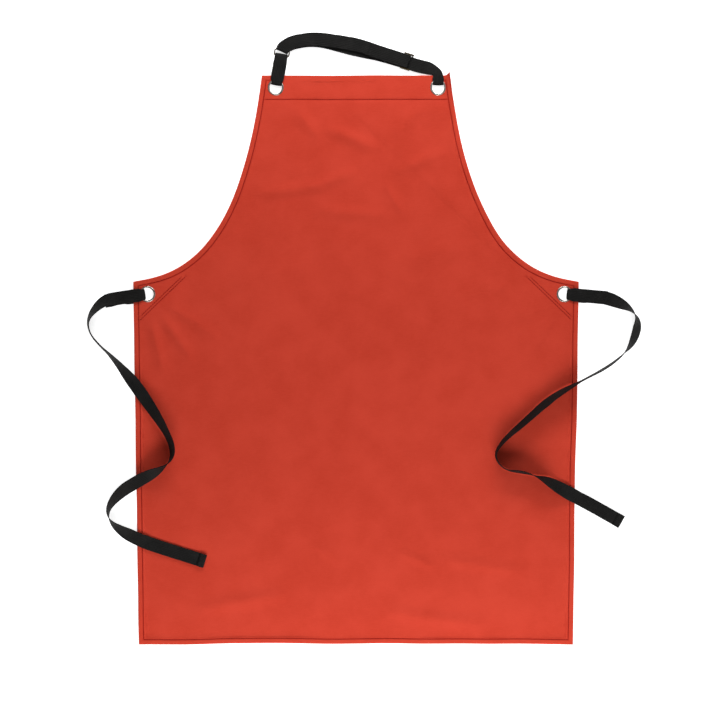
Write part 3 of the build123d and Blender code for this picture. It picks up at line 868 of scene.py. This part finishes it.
# Sections through the cloth's edge, as (inset, level), in millimetres
FOLDED_EDGE = [
    (8.7, 0), (8.2, 0), (7.8, 0), (7.4, 0), (6.8, 0), (5.8, 0), (4.6, 0), (3.4, 0), (2.2, 0),
    (1.3, -0.02), (0.75, -0.12), (0.35, -0.36), (0.1, -0.65), (0, -0.95), (0.1, -1.28), (0.38, -1.6),
    (0.8, -1.8), (1.35, -1.86), (1.35, -1.28), (0.95, -1.2), (0.7, -0.95), (0.95, -0.7), (1.6, -0.6),
    (4.6, -0.6), (8.7, -0.6),
]
TURNED_HEM = [
    (1.45, -0.62), (3.4, -0.62), (5.8, -0.62), (7.8, -0.62), (8.6, -0.65), (8.92, -0.86), (9, -1.24),
    (8.92, -1.6), (8.6, -1.82), (7.8, -1.86), (5.8, -1.86), (3.4, -1.86), (1.45, -1.86),
]
BAND_RIM = [
    (1.45, -0.62), (3.4, -0.62), (5.6, -0.62), (6.2, -0.8), (6.3, -1.24), (6.2, -1.7), (5.6, -1.86),
    (3.4, -1.86), (1.45, -1.86),
]
LINING_TOP = -0.62
LINING_BOTTOM = -1.2
HEM_INNER = 8.7 * MM
HOLE_COUNT = 72
SEAM_SHADE = 0.75 * MM


def eyelet_rows():
    return [
        [centre + direction(6 * k) * radius * MM for k in range(60)]
        for centre in EYELETS.values()
        for radius in (11.0, 12.6, 14.6, 17.0, 20.0)
    ]


def band_seam(half):
    """Ends of the row of stitches along the bib's band."""
    return Vector((-half, BAND_SEAM)), Vector((half, BAND_SEAM))


def seam_rows():
    seams = [band_seam(armhole_at(0, 0.12).x), *PATCH_SEAMS]
    return [row_between(*seam, offset * MM) for offset in (-1.6, -0.7, 0.0, 0.7, 1.6) for seam in seams]


def apron_cloth():
    """The front of the apron: one ply of canvas, folded round its edges."""
    vertices, wear, seam, faces = [], [], [], []
    around = sum(EDGE_COUNTS)
    for inset, level in FOLDED_EDGE:
        for p in ring(inset * MM):
            vertices.append(settled(p.x, p.y, level * MM, inset * MM))
            wear.append(bell(inset, 0.9) if level > -1.3 else 0.0)
            # Painted shade: the rim of the turned-up corner is darkened as its shaded underside, and the
            # cloth along the stitch rows as the shadow in their dip.
            curled_rim_painted_shade = 0.9 * curl(p.x, p.y) * (1 - ease(1.5, 3.5, inset))
            seam.append(max(curled_rim_painted_shade, seam_nearness(p.x, p.y, inset * MM, SEAM_SHADE)))
    for k in range(len(FOLDED_EDGE) - 1):
        faces += band_faces((k + 1) * around, k * around, around)
    under = (len(FOLDED_EDGE) - 1) * around
    holes = [(centre, CLOTH_HOLE, HOLE_COUNT) for centre in EYELETS.values()]
    rows = seam_rows() + eyelet_rows() + [ring(inset * MM) for inset in (9.5, 10.4, 11.8)]
    hole_starts = []
    for start, level, spacing, extra in ((0, 0.0, GRID_STEP, rows), (under, -PLY, 2 * GRID_STEP, [])):
        points, triangles = filled(ring(HEM_INNER), holes, spacing, extra)
        names = list(range(start, start + around)) + [len(vertices) + k for k in range(len(points) - around)]
        hole_starts.append(len(vertices))
        for p in points[around:]:
            vertices.append(settled(p.x, p.y, level))
            wear.append(0.0)
            # Painted shade along the rows of stitches.
            seam.append(seam_nearness(p.x, p.y, inset_of(p.x, p.y), SEAM_SHADE))
        faces += [tuple(names[v] for v in triangle) for triangle in triangles]
    for k in range(len(EYELETS)):
        faces += band_faces(hole_starts[0] + k * HOLE_COUNT, hole_starts[1] + k * HOLE_COUNT, HOLE_COUNT)
    return piece(
        "apron_cloth", vertices, faces, "canvas", "apron", ["apron_panel"], {"wear": wear, "seam": seam}
    )


def edge_strip(edge, count, section):
    """A strip that runs along one edge of the cloth, under it, with the same section all the way."""
    vertices = []
    for i in range(count + 1):
        for inset, level in section:
            p = edge(inset * MM, i / count)
            vertices.append(settled(p.x, p.y, level * MM, inset * MM))
    return vertices, tube_faces(count + 1, len(section), closed=False)


def lining(boundary, holes):
    """One flat ply under the face, with its eyelet holes."""
    points, triangles = filled(boundary, holes, GRID_STEP)
    size = len(points)
    vertices = [settled(p.x, p.y, level * MM) for level in (LINING_TOP, LINING_BOTTOM) for p in points]
    faces = triangles + [tuple(v + size for v in triangle) for triangle in triangles]
    rims = [(0, len(boundary))] + [(len(boundary) + k * HOLE_COUNT, HOLE_COUNT) for k in range(len(holes))]
    for start, count in rims:
        faces += band_faces(start, start + size, count)
    return vertices, faces


def joined(*parts):
    vertices, faces = [], []
    for some, their_faces in parts:
        faces += [tuple(v + len(vertices) for v in face) for face in their_faces]
        vertices += some
    return vertices, faces


def cloth_piece(replaced, shape):
    """A ply of canvas in the place of a CAD node."""
    vertices, faces = shape
    wear = [0.0] * len(vertices)
    return piece(f"{replaced}_cloth", vertices, faces, "canvas", "apron", [replaced], {"wear": wear})


def hems():
    names = ["bottom_hem", "side_hem_right", "armhole_hem_right", None, "armhole_hem_left", "side_hem_left"]
    return [
        cloth_piece(name, edge_strip(edge, count, TURNED_HEM))
        for name, edge, count in zip(names, EDGES, EDGE_COUNTS) if name
    ]


def outlined(corners):
    """Evenly spaced points round a polygon."""
    return [p for a, b in zip(corners, corners[1:] + corners[:1]) for p in row_between(a, b)[:-1]]


def bib_band():
    """The band that lines the bib's top, between the armhole hems, with its doubled rim."""
    high = TOP - BAND_RIM[4][0] * MM - 0.2 * MM
    inset = HEM + 0.25 * MM
    count = 14
    right = []
    for i in range(count + 1):
        y = lerp(BAND_LOW, high, i / count)
        t = crossing(lambda value, y=y: y - armhole_at(inset, value).y, 0.0, 0.4)
        right.append(armhole_at(inset, t))
    left = [Vector((-p.x, p.y)) for p in reversed(right)]
    low_row = row_between(left[-1], right[0])[1:-1]
    high_row = row_between(right[-1], left[0])[1:-1]
    boundary = right + high_row + left + low_row
    holes = [(EYELETS[name], CLOTH_HOLE, HOLE_COUNT) for name in ("bib_left", "bib_right")]
    shape = joined(lining(boundary, holes), edge_strip(top_edge, EDGE_COUNTS[3], BAND_RIM))
    return cloth_piece("bib_band", shape)


def waist_patches():
    made = []
    outer = side_x(PATCH_LOW_Y) - HEM - 0.3 * MM
    for side, word in ((-1, "left"), (1, "right")):
        corners = [Vector((outer, PATCH_LOW_Y)), Vector((outer, PATCH_HIGH_Y)), PATCH_INNER]
        boundary = [Vector((side * p.x, p.y)) for p in outlined(corners)][::side]
        shape = lining(boundary, [(EYELETS[f"waist_{word}"], CLOTH_HOLE, HOLE_COUNT)])
        made.append(cloth_piece(f"waist_patch_{word}", shape))
    return made


# ---------------------------------------------------------------- stitches

STITCH_SIDES = 6
# Each thread's radius, and the length and pitch of its stitches
THREADS = {"cloth_thread": (0.38 * MM, 3.0 * MM, 3.9 * MM), "webbing_thread": (0.28 * MM, 2.0 * MM, 2.7 * MM)}
# Along one stitch: share of its length, rise and swell
STITCH_SHAPE = [
    (0.0, -0.30, 0.55), (0.12, -0.06, 0.9), (0.5, 0.10, 1.0), (0.88, -0.06, 0.9), (1.0, -0.30, 0.55),
]


def place_along(line, marks, distance):
    return np.array([np.interp(distance, marks, line[:, i]) for i in range(3)])


def stitching(name, lines, slot, body, replaced):
    """Separate stitches along lines of points on a surface, each dipping into it at both ends."""
    radius, length, pitch = THREADS[slot]
    vertices, faces, lay = [], [], []
    for line in lines:
        line = np.array([tuple(p) for p in line])
        marks = along(line)
        count = int((marks[-1] - length) / pitch) + 1
        for k in range(count):
            begin = k * pitch + (marks[-1] - (count - 1) * pitch - length) / 2
            slip = dice.uniform(-0.06, 0.06) * MM
            faces += tube_faces(len(STITCH_SHAPE), STITCH_SIDES, closed=False, start=len(vertices))
            for share, rise, swell in STITCH_SHAPE:
                at = begin + share * length
                behind, centre, ahead = (place_along(line, marks, at + d * MM) for d in (-0.4, 0.0, 0.4))
                tangent = unit(ahead - behind)
                side = unit(np.cross((0, 0, 1), tangent))
                up = np.cross(tangent, side)
                middle = centre + up * (rise * radius * 2 + 0.02 * MM) + side * slip
                for corner in range(STITCH_SIDES):
                    angle = TAU * corner / STITCH_SIDES
                    offset = side * math.cos(angle) + up * math.sin(angle)
                    vertices.append(middle + offset * radius * swell)
                    lay.append((angle * radius, at, 0.0))
    return piece(name, vertices, faces, slot, body, replaced, {"lay": lay})


def cloth_stitching():
    runs = []
    for edge, count in zip(EDGES, EDGE_COUNTS):
        if edge is not top_edge:
            flat = [edge(HEM_SEAM, i / count) for i in range(count + 1)]
            runs.append([settled(p.x, p.y, 0.0, HEM_SEAM) for p in flat])
    band, *patches = [
        [settled(p.x, p.y, 0.0) for p in row_between(*seam)]
        for seam in [band_seam(armhole_at(HEM_SEAM, armhole_ends(HEM_SEAM)[0]).x), *PATCH_SEAMS]
    ]
    return [
        stitching(f"{word}_stitches", lines, "cloth_thread", "apron", [f"{word}_stitching"])
        for word, lines in (("hem", runs), ("band", [band]), ("patch", patches))
    ]


# ---------------------------------------------------------------- eyelets

# Half sections of an eyelet and of its back washer, as (radius, height), in millimetres
EYELET_SECTION = [
    (12.42, 3.46), (12.5, 3.7), (12.3, 4.05), (11.8, 4.3), (11.1, 4.4), (10.4, 4.3), (9.85, 4.05),
    (9.56, 3.65), (9.5, 3.1), (9.5, 2.2), (9.52, 1.75), (9.66, 1.5), (9.86, 1.46), (9.88, 1.8), (9.86, 3.2),
    (10.2, 3.46),
]
WASHER_SECTION = [
    (9.95, 2.24), (12.3, 2.26), (12.5, 2.08), (12.38, 1.72), (11.7, 1.5), (10.7, 1.44), (10.1, 1.56),
    (9.95, 1.85),
]
EYELET_PARTS = (("grommet", EYELET_SECTION, "eyelet"), ("ring_washer", WASHER_SECTION, "washer"))
LATHE_COUNT = 96


def lathed(section, centre):
    vertices = []
    for k in range(LATHE_COUNT):
        out = direction(360 * k / LATHE_COUNT)
        for radius, height in section:
            vertices.append((centre.x + out.x * radius * MM, centre.y + out.y * radius * MM, height * MM))
    return vertices, tube_faces(LATHE_COUNT, len(section))


def eyelets():
    for word, centre in EYELETS.items():
        for name, section, old in EYELET_PARTS:
            piece(f"{name}_{word}", *lathed(section, centre), "eyelet_metal", "apron", [f"{old}_{word}"])


cloth = apron_cloth()
backing = hems() + [bib_band()] + waist_patches() + cloth_stitching()
eyelets()


# ---------------------------------------------------------------- waist ties

HOLE_EXIT = 0.018
LOOP_END = 0.070
RAW_END = 0.068
TACK_START = 0.046
TACK_END = 0.066
TACK_HALF = 7.5 * MM
END_HEM = 0.010
FOLD_RADIUS = 0.72 * MM
ROW_HALF = WEB_HALF * 0.85
LOOP_STEP = 0.8 * MM
# Distances from the eyelet over which the hidden ply moves aside
UNDER_FROM = (0.008, 0.018)
UNDER_TO = (0.030, 0.038)
END_FROM = (0.048, 0.060)
# Rows of stitches across the end's hem, and how far each kind of narrowed webbing cups
HEM_ROWS = (2.5 * MM, 8.0 * MM)
TIE_CUP = 0.3
TAB_CUP = 0.2
STRAP_CUP = 0.25

# A loop's course through its eyelet, as (distance from the eyelet, height), in millimetres
LOOP_COURSE = [
    (RAW_END / MM, 0.7), (50, 0.7), (30, 0.7), (13, 0.7), (5.2, 0.8), (3.7, 1.7), (3.7, 3.7), (5.0, 5.0),
    (9, 5.35), (14, 5.15), (HOLE_EXIT / MM, 5.05),
]
FACE_COURSE = [(HOLE_EXIT / MM, 0), (46, 0), (LOOP_END / MM, 0)]
THROUGH_HOLE = 3.0 * MM

# Each tie: its heading at the eyelet and its route past the loop
TIES = {
    "left": {
        "heading": 188.0,
        "under_shift": 1.5 * MM,
        "end_shift": 1.6 * MM,
        "route": [
            (-0.421, 0.066), (-0.418, 0.042), (-0.401, 0.022), (-0.383, 0.006), (-0.359, -0.022),
            (-0.327, -0.066), (-0.301, -0.105), (-0.286, -0.137), (-0.290, -0.160), (-0.315, -0.176),
            (-0.344, -0.191), (-0.371, -0.208), (-0.390, -0.234), (-0.384, -0.256), (-0.346, -0.281),
            (-0.296, -0.298), (-0.238, -0.316),
        ],
        # place and roll in degrees: 0 and 180 lie flat, 90 stands on edge
        "rolls": [
            (-0.352, 0.101, 0), (-0.380, 0.099, 12), (-0.398, 0.092, 34), (-0.413, 0.080, 53),
            (-0.421, 0.063, 74), (-0.416, 0.042, 80), (-0.390, 0.014, 78),
            (-0.368, -0.010, 52), (-0.350, -0.034, 18), (-0.334, -0.056, 14), (-0.314, -0.084, 36),
            (-0.296, -0.114, 56), (-0.287, -0.146, 60), (-0.296, -0.164, 90), (-0.312, -0.174, 128),
            (-0.335, -0.187, 162), (-0.360, -0.202, 160), (-0.383, -0.224, 118), (-0.388, -0.242, 90),
            (-0.380, -0.260, 56), (-0.356, -0.276, 12), (-0.330, -0.287, 0), (-0.240, -0.315, 0),
        ],
        # place and the height of the webbing's lowest edge, in millimetres
        "bases": [
            (-0.359, 0.099, 4.4), (-0.376, 0.097, 1.4), (-0.398, 0.094, 1.4), (-0.416, 0.078, 0.2),
            (-0.406, 0.027, 0.2), (-0.386, 0.009, 2.9), (-0.340, -0.048, 2.9), (-0.300, -0.108, 2.6),
            (-0.300, -0.168, 2.6), (-0.344, -0.191, 3.0), (-0.388, -0.242, 2.9), (-0.346, -0.280, 2.9),
            (-0.310, -0.293, 2.4), (-0.240, -0.315, 2.4),
        ],
    },
    "right": {
        "heading": -5.0,
        "under_shift": -0.8 * MM,
        "end_shift": 0.0,
        "route": [
            (0.437, 0.077), (0.443, 0.051), (0.428, 0.017), (0.395, -0.011), (0.350, -0.034),
            (0.306, -0.059), (0.264, -0.097), (0.230, -0.126), (0.215, -0.150), (0.232, -0.173),
            (0.262, -0.175), (0.296, -0.187), (0.334, -0.209), (0.374, -0.230), (0.416, -0.254),
        ],
        "rolls": [
            (0.376, 0.099, 0), (0.396, 0.098, 10), (0.414, 0.092, 38), (0.430, 0.082, 78), (0.437, 0.074, 96),
            (0.443, 0.053, 139), (0.436, 0.030, 132), (0.420, 0.008, 92), (0.392, -0.012, 84),
            (0.352, -0.033, 89), (0.327, -0.046, 72), (0.296, -0.068, 60), (0.252, -0.108, 70),
            (0.232, -0.126, 79), (0.219, -0.150, 90),
            (0.236, -0.170, 88), (0.256, -0.176, 74), (0.282, -0.182, 90), (0.306, -0.193, 138),
            (0.334, -0.208, 176), (0.360, -0.223, 180), (0.414, -0.252, 180),
        ],
        "bases": [
            (0.359, 0.101, 4.4), (0.376, 0.099, 1.4), (0.398, 0.097, 1.4), (0.424, 0.090, 0.2),
            (0.430, 0.018, 0.2), (0.405, -0.004, 2.9), (0.340, -0.040, 2.9), (0.300, -0.064, 2.6),
            (0.296, -0.187, 2.6), (0.334, -0.208, 3.0), (0.360, -0.222, 3.0), (0.414, -0.252, 2.9),
        ],
    },
}


def flat_side(tangents):
    """The level direction to the left of each tangent."""
    level = np.stack([-tangents[:, 1], tangents[:, 0], np.zeros(len(tangents))], 1)
    return unit(level)


def rolled(line, distances, rolls, bases):
    """Lays webbing along a level line, rolled about it, with its lowest edge at a base height."""
    roll = np.radians(set_along(line, distances, rolls, 0.015))
    base = set_along(line, distances, bases, 0.012) * MM
    side = flat_side(slopes(line))
    across = side * np.cos(roll)[:, None] + np.array((0, 0, 1)) * np.sin(roll)[:, None]
    centres = line.copy()
    centres[:, 2] = base + WEB_HALF * abs(np.sin(roll)) + WEB_THICK / 2 * abs(np.cos(roll))
    return centres, across


def turned_end(centres, across, length):
    """Stations that fold the webbing's end back over itself, for its hem."""
    tangent = slopes(centres)[-1]
    up = np.array((0, 0, 1.0))
    angles = np.radians(np.linspace(30, 180, 6))
    turn = [
        centres[-1] + tangent * FOLD_RADIUS * math.sin(a) + up * FOLD_RADIUS * (1 - math.cos(a))
        for a in angles
    ]
    back = [turn[-1] - tangent * length * share for share in (0.15, 0.4, 0.7, 1.0)]
    added = np.array(turn + back)
    return np.vstack([centres, added]), np.vstack([across, np.tile(across[-1], (len(added), 1))])


def gathered(distances, start=0.005, end=0.015, half=EYELET_WEB_HALF):
    """Half-widths of webbing drawn narrow where it goes through an eyelet."""
    return np.array([lerp(half, WEB_HALF, ease(start, end, d)) for d in distances])


def face_points(centres, across, first, last, rise=WEB_THICK / 2):
    """Points on the upper face of level webbing, from (station, share across) to another."""
    (k0, u0), (k1, u1) = first, last
    points = []
    for t in np.linspace(0, 1, 9):
        k, u = lerp(k0, k1, t), lerp(u0, u1, t)
        low, share = int(min(k, len(centres) - 2)), k - int(min(k, len(centres) - 2))
        middle = lerp(centres[low], centres[low + 1], share)
        aside = lerp(across[low], across[low + 1], share)
        points.append(middle + aside * u + np.array((0, 0, rise)))
    return points


def tie(word):
    facts = TIES[word]
    eyelet = EYELETS[f"waist_{word}"]
    heading = direction(facts["heading"])
    side = level_left(heading)
    loop, _ = spaced(smooth_line(course_from(eyelet, heading, LOOP_COURSE)), LOOP_STEP)
    route = course_from(eyelet, heading, FACE_COURSE) + [(x, y, 0) for x, y in facts["route"]]
    line, distances = spaced(smooth_line(route))
    centres, across = rolled(line, distances, facts["rolls"], facts["bases"])
    ending, end_across = turned_end(centres, across, END_HEM)
    all_centres = np.vstack([loop[:-1], ending])
    all_across = np.vstack([np.tile(side, (len(loop) - 1, 1)), end_across])
    for k in range(len(loop) - 1):
        apart = math.dist(loop[k][:2], eyelet) if loop[k][2] < THROUGH_HOLE else 0.0
        shift = facts["under_shift"] * ease(*UNDER_FROM, apart) * (1 - ease(*UNDER_TO, apart))
        shift += facts["end_shift"] * ease(*END_FROM, apart)
        all_centres[k] += side * shift
    halves = gathered(apart_from(all_centres, eyelet))
    cup = (WEB_HALF - halves) * TIE_CUP
    body = f"{word}_tie"
    made = webbing(f"tie_webbing_{word}", all_centres, all_across, halves, cup, body, [f"waist_tie_{word}"])

    start, end = ((at - HOLE_EXIT) / STATION_STEP for at in (TACK_START, TACK_END))
    corners = [(start, -TACK_HALF), (end, -TACK_HALF), (end, TACK_HALF), (start, TACK_HALF)]
    box = list(zip(corners, corners[1:] + corners[:1])) + [corners[0::2], corners[1::2]]
    runs = [face_points(centres, across, first, last) for first, last in box]
    hem_rise = 2 * FOLD_RADIUS + WEB_THICK / 2
    for back in HEM_ROWS:
        station = len(centres) - 1 - back / STATION_STEP
        runs.append(face_points(centres, across, (station, -ROW_HALF), (station, ROW_HALF), hem_rise))
    sewn = stitching(f"tie_stitches_{word}", runs, "webbing_thread", body, [f"tie_stitching_{word}"])


for tie_name in TIES:
    tie(tie_name)


# ---------------------------------------------------------------- neck strap

TAB_HEADING = 80.0
STRAP_HEADING = 66.0
RING_REACH = 0.0502
RING_LENGTH = 9.3 * MM
RING_HALF = 0.0116
RING_CORNER = 2.6 * MM
RING_WIRE = 1.0 * MM
RING_SIDES = 16
RING_Z = 4.05 * MM
RING_WEB_HALF = 9.9 * MM
LOWER_Z = 2.0
UPPER_Z = 6.1
TUCKED_Z = 4.76
TAIL_Z = 3.4
CORNER_GATHER = 0.3
CORNER_REACH = 0.011
TAB_WIDENS = (0.004, 0.014)
STRAP_WIDENS = (0.003, 0.016)
STRAP_STEP = 1.2 * MM
UNDER_START = 0.022

SLIDER_AT = box_middle("neck_slider")
SLIDER_HEADING = -17.8
COVER_BACK = 0.062
END_ROWS = (COVER_BACK - 0.003, 0.016, 0.012)
TUCK_BACK = 0.078
TAIL_BACK = 0.032

# Courses in millimetres: the tab from its eyelet, and the strap past the ring's bar
TAB_COURSE = [
    (4.6, 1.0), (3.7, 2.0), (3.7, 3.8), (5.0, 5.0), (9, 5.35), (18, 5.05), (28, 5.05), (38, 6.2), (45, 6.85),
    (50.6, 6.85), (52.9, 6.3), (53.4, 4.05), (53.0, 1.7), (50.6, 1.1), (42, 1.0), (34, 0.8), (26, 0.7),
    (16, 0.7), (8, 0.7),
]
RING_FOLD = [(4.0, 2.0), (1.0, 2.0), (-0.8, 2.0), (-2.0, 2.15), (-2.4, 3.2), (-2.4, 4.05)]

# The strap's sewn end, round the slider's middle bar
END_COURSE = [
    (-COVER_BACK / MM, UPPER_Z), (-45, UPPER_Z), (-28, UPPER_Z), (-12, UPPER_Z), (1.4, UPPER_Z),
    (3.1, UPPER_Z - 0.1), (3.4, 4.75), (3.1, TAIL_Z + 0.1), (1.4, TAIL_Z), (-14, TAIL_Z), (-33.5, TAIL_Z),
]

# Where the strap turns off from the right bib eyelet, in millimetres from there
STRAP_TURN = [(0, 16.5, 5.05), (-0.5, 23.5, 4.7), (-14, 30.2, 2.3)]

# The strap's middle line from the ring towards the right-hand eyelet
NECK_ROUTE = [
    (-0.1085, 0.4935), (-0.098, 0.4985), (-0.080, 0.5020), (-0.055, 0.5020), (-0.018, 0.4920),
    (0.006, 0.4858), (0.032, 0.4813), (0.078, 0.4680), (0.098, 0.4618),
]
RETURN_ROUTE = [(-0.1085, 0.4940), (-0.098, 0.4990), (-0.080, 0.5026), (-0.057, 0.5039), (-0.014, 0.4975)]

tab_eyelet = EYELETS["bib_left"]
ring_bar = tab_eyelet + direction(TAB_HEADING) * RING_REACH
strap_bar = tab_eyelet + direction(TAB_HEADING) * (RING_REACH + RING_LENGTH)
ring_middle = (ring_bar + strap_bar) / 2


def neck_tab():
    """Closed loop of webbing through the left bib eyelet and round the ring's near bar."""
    heading = direction(TAB_HEADING)
    course = course_from(tab_eyelet, heading, TAB_COURSE)
    line = spaced(smooth_line(course, cyclic=True), STRAP_STEP)[0][:-1]
    reach = (line[:, :2] - np.array(tab_eyelet)) @ np.array(heading)
    near_ring = np.array([1 - ease(*TAB_WIDENS, RING_REACH - d) for d in reach])
    halves = gathered(reach) - (WEB_HALF - RING_WEB_HALF) * near_ring
    cup = (WEB_HALF - halves) * TAB_CUP
    across = np.tile(level_left(heading), (len(line), 1))
    return webbing("neck_tab_webbing", line, across, halves, cup, "apron", ["neck_tab"], closed=True)


def nearest_station(line, place):
    return int(np.argmin(np.linalg.norm(line - np.array(place), axis=1)))


def narrowed_at_bar(line):
    """How much of its half-width the strap loses round the ring's far bar."""
    shares = np.array([1 - ease(*STRAP_WIDENS, d) for d in apart_from(line, strap_bar)])
    return (WEB_HALF - RING_WEB_HALF) * shares


def all_softened(side, distances):
    return np.stack([softened(side[:, k], distances, 0.005) for k in range(3)], 1)


def neck_strap():
    """The strap's lower ply: up through the right bib eyelet, along to the ring and round its far bar."""
    eyelet = EYELETS["bib_right"]
    x, y = eyelet
    hole = [(x, y + d * MM, h * MM) for d, h in LOOP_COURSE[3:-1]]
    hole[0] = (x, y + UNDER_START, 0.7 * MM)
    turn = [(x + dx * MM, y + dy * MM, h * MM) for dx, dy, h in STRAP_TURN]
    rest = [(px, py, LOWER_Z * MM) for px, py in reversed(NECK_ROUTE)]
    fold = course_from(strap_bar, direction(STRAP_HEADING), RING_FOLD)
    line, distances = spaced(smooth_line(hole + turn + rest + fold), STRAP_STEP)
    side = flat_side(slopes(line))
    side[:nearest_station(line, turn[0])] = (-1, 0, 0)
    bar = nearest_station(line, fold[1])
    side[bar:] = side[bar]
    side = all_softened(side, distances)
    halves = gathered(apart_from(line, eyelet)) - narrowed_at_bar(line)
    halves *= 1 - CORNER_GATHER * np.exp(-((apart_from(line, turn[1][:2]) / CORNER_REACH) ** 2))
    cup = (WEB_HALF - np.minimum(halves, WEB_HALF)) * STRAP_CUP
    made = webbing("neck_webbing", line, side, halves, cup, None, ["neck_strap", "neck_loop"])
    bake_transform(made)
    return made, line[distances > UNDER_START]


def neck_return():
    """The strap's upper ply: back from the ring's far bar to under the slider's end loop."""
    heights = [UPPER_Z] * (len(RETURN_ROUTE) - 1) + [TUCKED_Z + 0.1]
    above = [(d, 2 * RING_Z / MM - h) for d, h in reversed(RING_FOLD)]
    fold = course_from(strap_bar, direction(STRAP_HEADING), above)
    points = fold + [(px, py, h * MM) for (px, py), h in zip(RETURN_ROUTE, heights)]
    tuck = SLIDER_AT - direction(SLIDER_HEADING) * TUCK_BACK + Vector((0.0006, 0.0009))
    last = SLIDER_AT - direction(SLIDER_HEADING) * TAIL_BACK
    points += [(*place, TUCKED_Z * MM) for place in (tuck, (tuck + last) / 2, last)]
    line, distances = spaced(smooth_line(points), STRAP_STEP)
    side = flat_side(slopes(line))
    bar = nearest_station(line, fold[-2])
    side[:bar + 1] = side[bar + 1]
    side = all_softened(side, distances)
    halves = WEB_HALF - narrowed_at_bar(line)
    return webbing("neck_webbing_return", line, side, halves, np.zeros(len(line)), "neck_strap"), line


def neck_ring():
    """A rounded rectangle of round wire."""
    ahead = direction(TAB_HEADING)
    aside = direction(TAB_HEADING - 90)
    points = []
    for quarter, (u, v) in enumerate(((1, 1), (-1, 1), (-1, -1), (1, -1))):
        centre = ring_middle + aside * u * (RING_HALF - RING_CORNER)
        centre += ahead * v * (RING_LENGTH / 2 - RING_CORNER)
        for step in range(9):
            angle = 90 * (quarter + step / 8) + TAB_HEADING - 90
            points.append((*(centre + direction(angle) * RING_CORNER), RING_Z))
    dense = []
    for a, b in zip(points, points[1:] + points[:1]):
        steps = max(1, round(math.dist(a, b) / (1.0 * MM)))
        dense += [tuple(lerp(np.array(a), np.array(b), i / steps)) for i in range(steps)]
    line = np.array(dense)
    vertices = []
    for centre, out in zip(line, np.cross(slopes(line, closed=True), (0, 0, 1))):
        for k in range(RING_SIDES):
            angle = TAU * k / RING_SIDES
            vertices.append(centre + (out * math.cos(angle) + np.array((0, 0, math.sin(angle)))) * RING_WIRE)
    faces = tube_faces(len(line), RING_SIDES)
    return piece("neck_ring_wire", vertices, faces, "buckle_metal", "neck_strap", ["neck_ring"])


def slider_and_end_loop():
    """The strap's end, folded round the slider's middle bar, and its stitches."""
    heading = direction(SLIDER_HEADING)
    line, distances = spaced(smooth_line(course_from(SLIDER_AT, heading, END_COURSE)), STRAP_STEP)
    across = np.tile(level_left(heading), (len(line), 1))
    halves = np.full(len(line), WEB_HALF)
    flat = np.zeros(len(line))
    made = webbing("strap_end_webbing", line, across, halves, flat, "slider", ["strap_end_loop"])
    runs = []
    for back in END_ROWS:
        station = (COVER_BACK - back) / distances[1]
        runs.append(face_points(line, across, (station, -ROW_HALF), (station, ROW_HALF)))
    sewn = stitching("strap_end_stitches", runs, "webbing_thread", "slider", ["strap_stitching"])
    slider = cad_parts["neck_slider"]
    slider.data.materials.clear()
    slider.data.materials.append(LOOKS["buckle_metal"])
    weld = slider.modifiers.new("weld", "WELD")
    weld.merge_threshold = 0.01 * MM
    round_edges = slider.modifiers.new("rounded", "BEVEL")
    round_edges.width = 0.35 * MM
    round_edges.segments = 3
    round_edges.angle_limit = math.radians(40)
    return made, sewn, slider


tab = neck_tab()
ring_piece = neck_ring()
strap, strap_path = neck_strap()
strap_return, return_path = neck_return()
end_loop, end_stitches, slider = slider_and_end_loop()
